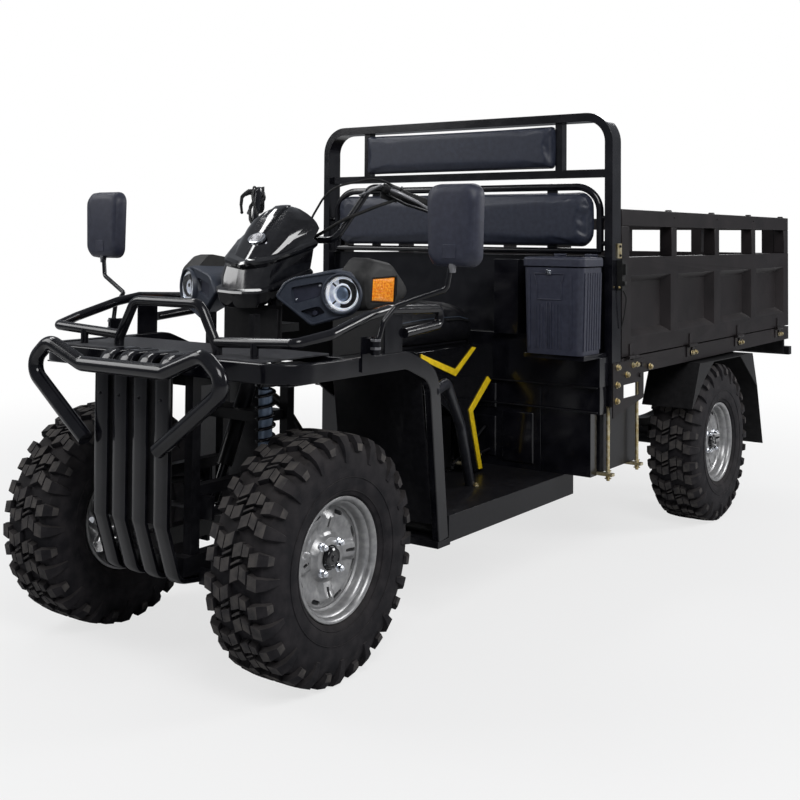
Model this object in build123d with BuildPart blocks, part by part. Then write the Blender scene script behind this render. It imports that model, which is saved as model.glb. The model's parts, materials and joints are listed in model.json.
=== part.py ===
"""Four-wheeled cargo quad: handlebar steering and a saddle in front, a drop-side cargo bed behind.

Millimetres, +Z up, wheels on z = 0. The front faces -Y and the vehicle's left is +X.
Lengths along the vehicle are measured from the front axle; at() and fy() move them to the
frame, whose origin lies under the middle of the bounding box.
"""
import os
from math import atan2, cos, degrees, radians, sin

from build123d import *

os.makedirs("parts", exist_ok=True)

# Overall reach from the front axle
FRONT_REACH = 336.0
REAR_REACH = 3385.0
FRONT_AXLE_Y = (FRONT_REACH - REAR_REACH) / 2

# Wheels and axles
WHEELBASE = 2297.0
TYRE_R = 325.0
TYRE_HALF_W = 105.0
CARCASS_R = 309.0
RIM_SEAT_R = 152.0
RIM_LIP_R = 162.5
RIM_HALF_W = 87.0
RIM_WALL = 5.0
FRONT_RIM_FACE_X = 494.0
REAR_RIM_FACE_X = 675.0
FRONT_WHEEL_X = FRONT_RIM_FACE_X - RIM_HALF_W
REAR_WHEEL_X = REAR_RIM_FACE_X - RIM_HALF_W
PITCHES = 13
HUB_R = 44.0
HUB_BACK = -45.0
SPINDLE_R = 12.0
RUNNING = 0.3

# Steering
KINGPIN_X = 345.0
KINGPIN_R = 8.0
KNUCKLE_LOW_Z = 247.0
KNUCKLE_HIGH_Z = 403.0
STEER_ARM = 112.0
TIE_ROD_Z = 345.0
COLUMN_TILT = 24.0
COLUMN_R = 15.0
COLUMN_TOP_Y = 366.0
COLUMN_TOP_Z = 1155.0
COLUMN_LOW_Z = 400.0

# Chassis
LOW_RAIL_X = 130.0
LOW_RAIL_Z = 270.0
LOW_RAIL_W = 40.0
LOW_RAIL_H = 50.0
REAR_RAIL_X = 360.0
REAR_RAIL_W = 50.0
REAR_RAIL_Z = 600.0
BED_Z = 680.0

# Cargo bed
BED_HALF_W = 652.0
BED_FRONT = 1390.0
BED_REAR = 3335.0
RAIL_TOP_Z = 742.0
FLOOR_T = 4.0
GATE_Z = 747.0
GATE_TOP_Z = 1273.0
GATE_T = 50.0
GATE_GAP = 5.0
HINGE_OUT = 10.0
HINGE_Z = 744.0
HINGE_R = 7.0
PIN_R = 3.5

# Headboard hoop
HOOP_W = 30.0
HOOP_FRONT = 1313.0
HOOP_BACK = 1384.0
HOOP_TOP_Z = 1614.0
HOOP_CORNER_R = 90.0
CROSSBAR_TOP_Z = 1413.0
HOOP_FOOT_Z = 590.0


def fy(y):
    """Length from the front axle to the frame's Y."""
    return FRONT_AXLE_Y + y


def at(x, y, z):
    """Point given from the front axle, as a point of the frame."""
    return (x, FRONT_AXLE_Y + y, z)


def block(x0, x1, y0, y1, z0, z1, mode=Mode.ADD):
    """Box between two corners given from the front axle."""
    with Locations(at((x0 + x1) / 2, (y0 + y1) / 2, (z0 + z1) / 2)):
        Box(abs(x1 - x0), abs(y1 - y0), abs(z1 - z0), mode=mode)


def side_plate(outline, x0, x1, mode=Mode.ADD):
    """Plate with an outline of (y, z) points, from x0 to x1."""
    with BuildSketch(Plane.YZ.offset(x0)) as face:
        with BuildLine():
            Polyline(*[(fy(y), z) for y, z in outline], close=True)
        make_face()
    extrude(face.sketch, amount=x1 - x0, dir=(1, 0, 0), mode=mode)


def front_plate(outline, y0, y1, mode=Mode.ADD):
    """Plate with an outline of (x, z) points, from y0 to y1."""
    with BuildSketch(Plane(origin=(0, fy(y1), 0), x_dir=(1, 0, 0), z_dir=(0, -1, 0))) as face:
        with BuildLine():
            Polyline(*outline, close=True)
        make_face()
    extrude(face.sketch, amount=y1 - y0, dir=(0, -1, 0), mode=mode)


def top_plate(outline, z0, z1, mode=Mode.ADD):
    """Plate with an outline of (x, y) points, from z0 to z1."""
    with BuildSketch(Plane.XY.offset(z0)) as face:
        with BuildLine():
            Polyline(*[(x, fy(y)) for x, y in outline], close=True)
        make_face()
    extrude(face.sketch, amount=z1 - z0, dir=(0, 0, 1), mode=mode)


def rod(start, end, radius, mode=Mode.ADD):
    """Straight round bar between two points given from the front axle."""
    start = Vector(*at(*start))
    end = Vector(*at(*end))
    with BuildSketch(Plane(origin=start, z_dir=end - start)) as disc:
        Circle(radius)
    extrude(disc.sketch, amount=(end - start).length, dir=end - start, mode=mode)


def tube(points, radius, bend):
    """Round tube through points given from the front axle, with bent corners."""
    with BuildLine() as route:
        FilletPolyline(*[at(*p) for p in points], radius=bend)
    with BuildSketch(Plane(origin=route.line @ 0, z_dir=route.line % 0)) as disc:
        Circle(radius)
    sweep(disc.sketch, path=route.line)


def box_tube(points, width, depth, bend, across):
    """Rectangular tube through points; depth lies along the direction across."""
    with BuildLine() as route:
        FilletPolyline(*[at(*p) for p in points], radius=bend)
    with BuildSketch(Plane(origin=route.line @ 0, x_dir=across, z_dir=route.line % 0)) as section:
        Rectangle(depth, width)
    sweep(section.sketch, path=route.line)


def save(builder, name):
    """Label a finished piece and write its STEP file."""
    builder.part.label = name
    export_step(builder.part, f"parts/{name}.step")


# Wheels: one tyre and one rim, made about the X axis with the outer side at +X

TYRE_SIDES = 2 * PITCHES
PITCH = 360 / PITCHES
CARCASS = (
    # across, radius
    (103, 245), (92, 290), (74, CARCASS_R))
BEAD_X = 79.0
BEAD_R = RIM_LIP_R + 2.5
WALL_FOOT_R = 205.0
LUG_HALF = 18.0
LUG = (
    # across, radius of one tread bar that runs over the shoulder
    (8, 300), (8, TYRE_R), (78, TYRE_R - 3), (104, 291), (TYRE_HALF_W - 0.5, 262), (92, 252))
LUG_PLANES = [
    Plane(Location((0, 0, 0), (PITCH * (step + 0.25 * (1 - side)), 0, 90 - 90 * side)) * Location(Plane.XZ.offset(-LUG_HALF)))
    for step in range(PITCHES) for side in (1, -1)]


def ring(x, radius):
    """Many-sided section of the tyre across its axis, the radius taken at the flats."""
    with BuildSketch(Plane.YZ.offset(x)) as section:
        RegularPolygon(radius, TYRE_SIDES, major_radius=False)
    return section.sketch


with BuildPart() as tyre:
    loft([ring(-x, radius) for x, radius in CARCASS] + [ring(x, radius) for x, radius in reversed(CARCASS)], ruled=True)
    extrude(ring(-TYRE_HALF_W, RIM_SEAT_R), amount=2 * TYRE_HALF_W, mode=Mode.SUBTRACT)
    for side in (1, -1):
        loft([ring(side * BEAD_X, BEAD_R), ring(side * CARCASS[0][0], WALL_FOOT_R)], ruled=True, mode=Mode.SUBTRACT)
    with BuildSketch(*LUG_PLANES):
        with BuildLine():
            Polyline(*LUG, close=True)
        make_face()
    extrude(amount=2 * LUG_HALF)

RIM_PROFILE = (
    # across, radius: barrel, dished disc, hub
    (-87, 156), (-87, RIM_LIP_R), (-80, RIM_LIP_R), (-79, RIM_SEAT_R), (79, RIM_SEAT_R), (80, RIM_LIP_R),
    (87, RIM_LIP_R), (87, 156), (79, 147), (66, 137), (46, 131), (40, 110), (40, 76), (54, 66), (54, 30),
    (66, 27), (66, 0), (HUB_BACK, 0), (HUB_BACK, HUB_R), (30, HUB_R), (33, 76), (33, 112), (38, 138),
    (58, 147), (-79, 147))
DISC_FACE = 40.0
HUB_FACE = 54.0
NUT_PCD = 96.0

with BuildPart() as rim:
    with BuildSketch(Plane.XY):
        with BuildLine():
            Polyline(*RIM_PROFILE, close=True)
        make_face()
    revolve(axis=Axis.X)
    with BuildSketch(Plane.YZ.offset(20)):
        with PolarLocations(121, 8):
            SlotOverall(30, 13, rotation=90)
        with PolarLocations(91, 4, start_angle=22.5):
            SlotOverall(26, 12)
    extrude(amount=50, mode=Mode.SUBTRACT)
    with BuildSketch(Plane.YZ.offset(HUB_FACE)):
        with PolarLocations(NUT_PCD / 2, 4, start_angle=45):
            RegularPolygon(9, 6)
    extrude(amount=14)
    with Locations(Location((HUB_BACK, 0, 0), (0, 90, 0))):
        Cylinder(SPINDLE_R + RUNNING, 70, align=(Align.CENTER, Align.CENTER, Align.MIN), mode=Mode.SUBTRACT)

WHEELS = (
    # place, across, along
    ("front_left", FRONT_WHEEL_X, 0), ("front_right", -FRONT_WHEEL_X, 0),
    ("rear_left", REAR_WHEEL_X, WHEELBASE), ("rear_right", -REAR_WHEEL_X, WHEELBASE))

for place, wheel_x, wheel_y in WHEELS:
    turn = 0 if wheel_x > 0 else 180
    for master, kind in ((tyre, "tyre"), (rim, "rim")):
        with BuildPart() as placed:
            with Locations(Location(at(wheel_x, wheel_y, TYRE_R), (0, 0, turn))):
                add(master.part)
        save(placed, f"{kind}_{place}")

# Steering knuckles: upright between the two ball joints, spindle and steering arm

for place, side in (("left", 1), ("right", -1)):
    hub_x = FRONT_WHEEL_X + HUB_BACK
    with BuildPart() as knuckle:
        block(side * (KINGPIN_X - 15), side * (hub_x - RUNNING), -24, 24, KNUCKLE_LOW_Z + 7, KNUCKLE_HIGH_Z - 7)
        rod((side * KINGPIN_X, 0, KNUCKLE_LOW_Z + RUNNING), (side * KINGPIN_X, 0, KNUCKLE_HIGH_Z - RUNNING), 14)
        rod((side * KINGPIN_X, 0, KNUCKLE_LOW_Z - 24), (side * KINGPIN_X, 0, KNUCKLE_HIGH_Z + 24), KINGPIN_R)
        rod((side * (hub_x - 5), 0, TYRE_R), (side * (hub_x + 60), 0, TYRE_R), SPINDLE_R)
        with BuildSketch(Plane.XY.offset(TIE_ROD_Z + 10.3)):
            with BuildLine():
                Polyline(at(side * 355, 10, 0)[:2], at(side * 355, 40, 0)[:2], at(side * 337, STEER_ARM + 14, 0)[:2],
                         at(side * 313, STEER_ARM + 14, 0)[:2], at(side * 332, 10, 0)[:2], close=True)
            make_face()
        extrude(amount=14)
    save(knuckle, f"knuckle_{place}")

# Tie rods: one link under the steering arms, with a clevis for the column's drop arm

with BuildPart() as tie_rods:
    rod((-325, STEER_ARM, TIE_ROD_Z), (325, STEER_ARM, TIE_ROD_Z), 8)
    for side in (1, -1):
        rod((side * 325, STEER_ARM, TIE_ROD_Z - 12), (side * 325, STEER_ARM, TIE_ROD_Z + 10), 13)
    block(-30, 30, STEER_ARM - 12, STEER_ARM + 12, TIE_ROD_Z - 10, TIE_ROD_Z + 10)
save(tie_rods, "tie_rods")

# Suspension arms: a wide V above and below, with a housing at each ball joint

ARMS = (
    # inner z, outer z, half spread
    (256, 235, 130), (430, 415, 115))
ARM_INNER_X = 172.0
ARM_BRACKET_Y = 155.0

with BuildPart() as suspension_arms:
    for inner_z, outer_z, spread in ARMS:
        for end in (1, -1):
            rod((ARM_INNER_X, end * spread, inner_z), (KINGPIN_X, end * 4, outer_z), 10)
            rod((ARM_INNER_X, end * (spread - 22), inner_z), (ARM_INNER_X, end * ARM_BRACKET_Y, inner_z), 13)
        rod((KINGPIN_X, 0, outer_z - 12), (KINGPIN_X, 0, outer_z + 12), 19)
        rod((KINGPIN_X, 0, outer_z - 13), (KINGPIN_X, 0, outer_z + 13), KINGPIN_R + RUNNING, Mode.SUBTRACT)
    block(228, 256, -50, 50, 421, 436)
    mirror(about=Plane.YZ)
save(suspension_arms, "suspension_arms")

# Chassis: low rails under the rider, front subframe, rear rails under the bed

TOP_RAIL_Z = 795.0
CRADLE_X = 98.0
WALL_FRONT = 1240.0
CRADLE_TOP_Z = 985.0


def column_y(z):
    """Y of the tilted steering column's axis at a height."""
    return COLUMN_TOP_Y - (COLUMN_TOP_Z - z) * sin(radians(COLUMN_TILT)) / cos(radians(COLUMN_TILT))


with BuildPart() as chassis:
    block(LOW_RAIL_X - LOW_RAIL_W / 2, LOW_RAIL_X + LOW_RAIL_W / 2, -225, 1360, LOW_RAIL_Z, LOW_RAIL_Z + LOW_RAIL_H)
    for y0, y1 in ((-195, -165), (185, 215)):
        block(LOW_RAIL_X - 15, LOW_RAIL_X + 15, y0, y1, LOW_RAIL_Z + LOW_RAIL_H, TOP_RAIL_Z)
    block(LOW_RAIL_X - 15, LOW_RAIL_X + 15, -165, 185, 470, 500)
    for end in (1, -1):
        y0, y1 = sorted((end * ARM_BRACKET_Y, end * (ARM_BRACKET_Y + 10)))
        block(LOW_RAIL_X + 15, LOW_RAIL_X + 60, y0, y1, 238, 285)
        block(LOW_RAIL_X + 8, LOW_RAIL_X + 60, y0, y1, 412, 475)
    block(LOW_RAIL_X - 15, LOW_RAIL_X + 15, -190, 1165, TOP_RAIL_Z - 30, TOP_RAIL_Z)
    block(LOW_RAIL_X - 15, LOW_RAIL_X + 15, 1135, 1165, LOW_RAIL_Z, TOP_RAIL_Z)
    block(LOW_RAIL_X - 15, LOW_RAIL_X + 15, 1165, WALL_FRONT, 660, 690)
    block(0, LOW_RAIL_X, -190, -165, TOP_RAIL_Z - 30, TOP_RAIL_Z)
    block(0, 265, -25, 5, TOP_RAIL_Z, TOP_RAIL_Z + 22)
    for y in (-215, 620, 1320):
        block(0, LOW_RAIL_X, y, y + 40, LOW_RAIL_Z, LOW_RAIL_Z + 40)
    block(LOW_RAIL_X - 20, LOW_RAIL_X + 20, 1310, 1360, 300, BED_Z - 5)
    block(0, REAR_RAIL_X, 1310, 1360, REAR_RAIL_Z, BED_Z - 25)
    block(REAR_RAIL_X - REAR_RAIL_W / 2, REAR_RAIL_X + REAR_RAIL_W / 2, 1310, 3300, REAR_RAIL_Z, BED_Z)
    for y in (1700, 2297, 2880):
        block(0, REAR_RAIL_X, y - 25, y + 25, REAR_RAIL_Z + 15, REAR_RAIL_Z + 65)
    for y, top in ((90, 940), (185, CRADLE_TOP_Z)):
        block(CRADLE_X - 20, CRADLE_X, y, y + 25, TOP_RAIL_Z - 30, top)
        block(CRADLE_X - 20, LOW_RAIL_X, y, y + 25, TOP_RAIL_Z - 30, TOP_RAIL_Z)
    block(0, LOW_RAIL_X, column_y(645) - 45, 190, 630, 660)
    block(0, CRADLE_X - 10, 195, 300, 880, 905)
    mirror(about=Plane.YZ)
    rod((0, column_y(500), 500), (0, column_y(760), 760), COLUMN_R + 9)
    rod((0, column_y(480), 480), (0, column_y(1000), 1000), COLUMN_R + RUNNING, Mode.SUBTRACT)
save(chassis, "chassis")

# Leaf springs and rear axle

SPRING_FRONT = WHEELBASE - 450
SPRING_BACK = WHEELBASE + 450
AXLE_R = 38.0

with BuildPart() as rear_axle:
    rod((-500, WHEELBASE, TYRE_R), (500, WHEELBASE, TYRE_R), AXLE_R)
    rod((-75, WHEELBASE, TYRE_R), (75, WHEELBASE, TYRE_R), 115)
    rod((-95, WHEELBASE, TYRE_R), (95, WHEELBASE, TYRE_R), 80)
    rod((0, WHEELBASE - 170, 365), (0, WHEELBASE, 355), 45)
    rod((0, 1131.2, 400), (0, WHEELBASE - 150, 365), 24)
    hub_x = REAR_WHEEL_X + HUB_BACK
    for side in (1, -1):
        rod((side * 500, WHEELBASE, TYRE_R), (side * (hub_x - RUNNING), WHEELBASE, TYRE_R), 92)
        rod((side * (hub_x - 5), WHEELBASE, TYRE_R), (side * (hub_x + 60), WHEELBASE, TYRE_R), SPINDLE_R)
        block(side * 330, side * 390, WHEELBASE - 60, WHEELBASE + 60, TYRE_R + 20, TYRE_R + AXLE_R + 4)
save(rear_axle, "rear_axle")

LEAVES = (
    # half length, thickness
    (450, 9), (330, 9), (230, 9), (130, 9))
SPRING_TOP = TYRE_R + AXLE_R + 4 + 36
SPRING_RISE = 95.0

with BuildPart() as leaf_springs:
    top = SPRING_TOP
    for half, thick in LEAVES:
        rise = SPRING_RISE * (half / 450) ** 2
        with BuildSketch(Plane.YZ.offset(REAR_RAIL_X - 30)):
            with BuildLine():
                low = ThreePointArc((fy(WHEELBASE - half), top - thick + rise), (fy(WHEELBASE), top - thick),
                                    (fy(WHEELBASE + half), top - thick + rise))
                high = ThreePointArc((fy(WHEELBASE - half), top + rise), (fy(WHEELBASE), top),
                                     (fy(WHEELBASE + half), top + rise))
                Line(low @ 0, high @ 0)
                Line(low @ 1, high @ 1)
            make_face()
        extrude(amount=60)
        top -= thick
    for y in (SPRING_FRONT, SPRING_BACK):
        z = SPRING_TOP + SPRING_RISE + 8
        rod((REAR_RAIL_X - 34, y, z), (REAR_RAIL_X + 34, y, z), 17)
        for x0, x1 in ((REAR_RAIL_X - 42, REAR_RAIL_X - 34), (REAR_RAIL_X + 34, REAR_RAIL_X + 42)):
            block(x0, x1, y - 22, y + 22, z - 24, REAR_RAIL_Z)
    mirror(about=Plane.YZ)
save(leaf_springs, "leaf_springs")

# Front coil-over units between the upper arms and the tower

SHOCK_X = 236.0
SHOCK_Y = -10.0
with BuildPart() as shocks:
    low, high = 436, TOP_RAIL_Z
    rod((SHOCK_X, SHOCK_Y, low), (SHOCK_X, SHOCK_Y, high), 14)
    for turn in range(9):
        z = 520 + turn * 26
        rod((SHOCK_X, SHOCK_Y, z), (SHOCK_X, SHOCK_Y, z + 12), 27)
    for z in (505, 766):
        rod((SHOCK_X, SHOCK_Y, z - 8), (SHOCK_X, SHOCK_Y, z), 29)
    mirror(about=Plane.YZ)
save(shocks, "shocks")

# Engine and gearbox under the saddle, with its shaft to the rear axle

with BuildPart() as engine:
    block(-105, 105, 790, 1130, 322, 520)
    block(-70, 70, 800, 940, 520, 660)
    for y in (800, 1090):
        block(-125, 125, y, y + 30, LOW_RAIL_Z + LOW_RAIL_H, 334)
    rod((105, 1000, 420), (135, 1000, 420), 85)
    rod((-135, 1000, 420), (-105, 1000, 420), 85)
save(engine, "engine")

# Cargo bed: side rails and bearers, steel floor

FLOOR_Z = RAIL_TOP_Z
BEARERS = (1470, 1830, 2190, 2550, 2910, 3290)
HINGE_YS = (1466, 2039, 2598, 3161)
HINGE_LEN = 84.0
GUSSET_T = 4.0
GUSSET = ((1313, 542), (1574, 588), (1574, 732), (1313, 732))
GUSSET_BOLTS = ((1350, 716), (1344, 655), (1340, 599), (1553, 709), (1540, 672))
TAIL_HINGE_Y = BED_REAR + HINGE_OUT
TAIL_HINGES = (-430, 0, 430)

with BuildPart() as bed_frame:
    block(BED_HALF_W - 50, BED_HALF_W, BED_FRONT, BED_REAR, BED_Z, RAIL_TOP_Z)
    for y in BEARERS:
        block(-BED_HALF_W + 10, BED_HALF_W - 10, y - 20, y + 20, BED_Z, RAIL_TOP_Z)
    block(-BED_HALF_W, BED_HALF_W, BED_REAR - 50, BED_REAR, BED_Z, RAIL_TOP_Z)
    for y in HINGE_YS:
        for end in (-1, 1):
            centre = y + end * HINGE_LEN / 3
            block(BED_HALF_W, BED_HALF_W + 4, centre - HINGE_LEN / 6, centre + HINGE_LEN / 6, 700, HINGE_Z)
            rod((BED_HALF_W + HINGE_OUT, centre - HINGE_LEN / 6, HINGE_Z),
                (BED_HALF_W + HINGE_OUT, centre + HINGE_LEN / 6, HINGE_Z), HINGE_R)
            block(BED_HALF_W, BED_HALF_W + HINGE_OUT, centre - HINGE_LEN / 6, centre + HINGE_LEN / 6,
                  HINGE_Z - HINGE_R, HINGE_Z - 3)
        rod((BED_HALF_W + HINGE_OUT, y - HINGE_LEN / 2, HINGE_Z), (BED_HALF_W + HINGE_OUT, y + HINGE_LEN / 2, HINGE_Z),
            PIN_R)
    mirror(about=Plane.YZ)
    for x in TAIL_HINGES:
        for end in (-1, 1):
            x0, x1 = x + end * HINGE_LEN / 3 - HINGE_LEN / 6, x + end * HINGE_LEN / 3 + HINGE_LEN / 6
            block(x0, x1, BED_REAR, BED_REAR + 4, 700, HINGE_Z)
            rod((x0, TAIL_HINGE_Y, HINGE_Z), (x1, TAIL_HINGE_Y, HINGE_Z), HINGE_R)
            block(x0, x1, BED_REAR, TAIL_HINGE_Y, HINGE_Z - HINGE_R, HINGE_Z - 3)
        rod((x - HINGE_LEN / 2, TAIL_HINGE_Y, HINGE_Z), (x + HINGE_LEN / 2, TAIL_HINGE_Y, HINGE_Z), PIN_R)
    for side in (1, -1):
        x0, x1 = side * BED_HALF_W, side * (BED_HALF_W + GUSSET_T)
        side_plate(GUSSET, *sorted((x0, x1)))
        block(x0, x1, 1400, 1533, 602, 649, Mode.SUBTRACT)
        for y, z in GUSSET_BOLTS:
            rod((x0, y, z), (side * (BED_HALF_W + GUSSET_T + 5), y, z), 8)
save(bed_frame, "bed_frame")

with BuildPart() as bed_floor:
    block(-BED_HALF_W + GATE_T + GATE_GAP, BED_HALF_W - GATE_T - GATE_GAP, HOOP_BACK + 1, BED_REAR - GATE_T - GATE_GAP,
          FLOOR_Z, FLOOR_Z + FLOOR_T)
save(bed_floor, "bed_floor")

# Headboard: bent hoop, cross bar, two struts and the bed's front wall

POST_X = BED_HALF_W - HOOP_W / 2
HOOP_Y = (HOOP_FRONT + HOOP_BACK) / 2
HOOP_DEPTH = HOOP_BACK - HOOP_FRONT

with BuildPart() as headboard:
    box_tube([(-POST_X, HOOP_Y, HOOP_FOOT_Z), (-POST_X, HOOP_Y, HOOP_TOP_Z - HOOP_W / 2),
              (POST_X, HOOP_Y, HOOP_TOP_Z - HOOP_W / 2), (POST_X, HOOP_Y, HOOP_FOOT_Z)],
             HOOP_W, HOOP_DEPTH, HOOP_CORNER_R, (0, 1, 0))
    block(-POST_X, POST_X, HOOP_Y - 18, HOOP_Y + 18, CROSSBAR_TOP_Z - 28, CROSSBAR_TOP_Z)
    for x in (-440, 432):
        block(x - 14, x + 14, HOOP_Y - 18, HOOP_Y + 18, CROSSBAR_TOP_Z, HOOP_TOP_Z - HOOP_W + 2)
    block(-POST_X, POST_X, HOOP_BACK - 30, HOOP_BACK - 5, BED_Z + 5, 1105)
    block(-POST_X, POST_X, HOOP_BACK - 62, HOOP_BACK - 5, BED_Z, RAIL_TOP_Z)
    block(-440, 432, HOOP_Y - 10, HOOP_Y - 4, 1434, 1560)
    for side in (1, -1):
        x0, x1 = sorted((side * (BED_HALF_W - 60), side * BED_HALF_W))
        block(x0, x1, HOOP_FRONT, HOOP_BACK, HOOP_FOOT_Z - 8, HOOP_FOOT_Z)
save(headboard, "headboard")

with BuildPart() as headboard_pad:
    block(-424, 416, HOOP_Y - 48, HOOP_Y - 10, 1422, 1571)
    fillet(headboard_pad.edges().filter_by(Axis.Y), 14)
    fillet(headboard_pad.faces().sort_by(Axis.Y)[0].edges(), 11)
save(headboard_pad, "headboard_pad")

# Backrest: tube hoop between the posts, with a long pad

BACKREST_Y = 1336.0
BACKREST_R = 13.0
BACKREST_X = 594.0
PAD_BACK_Y = 1342.0
with BuildPart() as backrest_frame:
    tube([(-BACKREST_X, BACKREST_Y, 1120), (-BACKREST_X, BACKREST_Y, 1352), (BACKREST_X, BACKREST_Y, 1352),
          (BACKREST_X, BACKREST_Y, 1120)], BACKREST_R, 90)
    rod((-BACKREST_X, BACKREST_Y, 1122), (BACKREST_X, BACKREST_Y, 1122), 11)
    for x in (-400, 0, 400):
        block(x - 20, x + 20, PAD_BACK_Y, PAD_BACK_Y + 7, 1120, 1354)
    for side in (1, -1):
        for z in (1150, 1240):
            rod((side * BACKREST_X, BACKREST_Y, z), (side * (POST_X - HOOP_W / 2), BACKREST_Y, z), 9)
save(backrest_frame, "backrest_frame")

with BuildPart() as backrest_pad:
    block(-565, 565, 1296, PAD_BACK_Y, 1142, 1328)
    fillet(backrest_pad.edges().filter_by(Axis.Y), 50)
    fillet(backrest_pad.faces().sort_by(Axis.Y)[0].edges(), 20)
save(backrest_pad, "backrest_pad")

# Bulkhead between the rider and the bed, with a shelf for the storage box

WALL_BACK = 1310.0
WALL_HALF_W = 640.0
SHELF_Z = 770.0
FOOT_Z = 341.0
COVER_TOP_Z = 1090.0
with BuildPart() as bulkhead:
    block(-WALL_HALF_W, 394, WALL_FRONT, WALL_BACK, 755, 823)
    block(-WALL_HALF_W, WALL_HALF_W, WALL_FRONT, WALL_BACK, 655, 755)
    block(-WALL_HALF_W + 4, WALL_HALF_W - 4, WALL_FRONT + 10, WALL_BACK - 10, 560, 655)
    block(404, 634, 1130, WALL_BACK, SHELF_Z - 16, SHELF_Z)
    for side in (1, -1):
        x0, x1 = sorted((side * 400, side * 600))
        block(x0, x1, WALL_FRONT + 12, WALL_BACK - 10, FOOT_Z, 560)
    block(232, 330, 1215, WALL_BACK, 823, COVER_TOP_Z)
save(bulkhead, "bulkhead")

# Storage box on the shelf, with a hinged lid

BOX_X0, BOX_X1 = 401.0, 640.0
BOX_Y0, BOX_Y1 = 1113.0, 1284.0
BOX_WALL = 4.0
BOX_LID_Z = 1072.0
BOX_TOP_Z = 1102.0
LID_GAP = 5.0
LID_HINGE_Y = BOX_Y1 + 9
LID_HINGE_Z = BOX_TOP_Z + 6
LID_HINGE_R = 4.5
LID_PIN_R = 2.0
LID_HINGES = (460, 581)
BOX_CENTRE = ((BOX_X0 + BOX_X1) / 2, fy((BOX_Y0 + BOX_Y1) / 2))
with BuildPart() as storage_box:
    with BuildSketch(Plane.XY.offset(SHELF_Z)):
        with Locations(BOX_CENTRE):
            RectangleRounded(BOX_X1 - BOX_X0 - 24, BOX_Y1 - BOX_Y0 - 16, 22)
    with BuildSketch(Plane.XY.offset(BOX_LID_Z - LID_GAP)):
        with Locations(BOX_CENTRE):
            RectangleRounded(BOX_X1 - BOX_X0 - 10, BOX_Y1 - BOX_Y0 - 8, 24)
    loft()
    offset(amount=-BOX_WALL, openings=storage_box.faces().sort_by(Axis.Z)[-1])
    for x in LID_HINGES:
        for end in (-1, 1):
            block(x + end * 16 - 8, x + end * 16 + 8, BOX_Y1 - 6, LID_HINGE_Y, BOX_LID_Z - 34, BOX_LID_Z - 10)
            block(x + end * 16 - 8, x + end * 16 + 8, LID_HINGE_Y - 3, LID_HINGE_Y, BOX_LID_Z - 34, LID_HINGE_Z)
            rod((x + end * 16 - 8, LID_HINGE_Y, LID_HINGE_Z), (x + end * 16 + 8, LID_HINGE_Y, LID_HINGE_Z), LID_HINGE_R)
        rod((x - 24, LID_HINGE_Y, LID_HINGE_Z), (x + 24, LID_HINGE_Y, LID_HINGE_Z), LID_PIN_R)
save(storage_box, "storage_box")

with BuildPart() as box_lid:
    with BuildSketch(Plane.XY.offset(BOX_LID_Z)):
        with Locations(BOX_CENTRE):
            RectangleRounded(BOX_X1 - BOX_X0, BOX_Y1 - BOX_Y0, 26)
    extrude(amount=BOX_TOP_Z - BOX_LID_Z)
    fillet(box_lid.faces().sort_by(Axis.Z)[-1].edges(), 8)
    for x in LID_HINGES:
        rod((x - 7, LID_HINGE_Y, LID_HINGE_Z), (x + 7, LID_HINGE_Y, LID_HINGE_Z), LID_HINGE_R)
        block(x - 7, x + 7, BOX_Y1 - 20, LID_HINGE_Y, BOX_TOP_Z - 2, BOX_TOP_Z + 4)
        rod((x - 7, LID_HINGE_Y, LID_HINGE_Z), (x + 7, LID_HINGE_Y, LID_HINGE_Z), LID_PIN_R + RUNNING, Mode.SUBTRACT)
save(box_lid, "box_lid")

# Side gates: pressed panels hinged at the foot, with posts and a top rail over them

POSTS_Y = (1876, 2346, 2816)
POST_W = 54.0
STILE_W = 66.0
WINDOW_Z = (1101.0, 1213.0)
PRESS_Z = (812.0, 1034.0)
PRESS_DEPTH = 34.0
GATE_X = BED_HALF_W - GATE_T
GATE_START = BED_FRONT + 2
bay_edges = [GATE_START + STILE_W]
for y in POSTS_Y:
    bay_edges += [y - POST_W / 2, y + POST_W / 2]
bay_edges.append(BED_REAR - STILE_W)
BAYS = list(zip(bay_edges[::2], bay_edges[1::2]))

with BuildPart() as side_gate_left:
    block(GATE_X, BED_HALF_W, GATE_START, BED_REAR, GATE_Z, WINDOW_Z[0])
    for y0, y1 in BAYS:
        with BuildSketch(Plane.YZ.offset(BED_HALF_W)):
            with Locations((fy((y0 + y1) / 2), sum(PRESS_Z) / 2)):
                Rectangle(y1 - y0 - 20, PRESS_Z[1] - PRESS_Z[0])
        extrude(amount=-PRESS_DEPTH, taper=36, mode=Mode.SUBTRACT)
    for y in HINGE_YS:
        half = HINGE_LEN / 6 - 1
        rod((BED_HALF_W + HINGE_OUT, y - half, HINGE_Z), (BED_HALF_W + HINGE_OUT, y + half, HINGE_Z), HINGE_R)
        block(BED_HALF_W, BED_HALF_W + 4, y - half, y + half, HINGE_Z, 790)
        block(BED_HALF_W, BED_HALF_W + HINGE_OUT, y - half, y + half, HINGE_Z + 3, HINGE_Z + HINGE_R)
        rod((BED_HALF_W + HINGE_OUT, y - half, HINGE_Z), (BED_HALF_W + HINGE_OUT, y + half, HINGE_Z),
            PIN_R + RUNNING, Mode.SUBTRACT)
save(side_gate_left, "side_gate_left")

with BuildPart() as side_gate_right:
    add(side_gate_left.part)
    mirror(about=Plane.YZ, mode=Mode.REPLACE)
save(side_gate_right, "side_gate_right")

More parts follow.
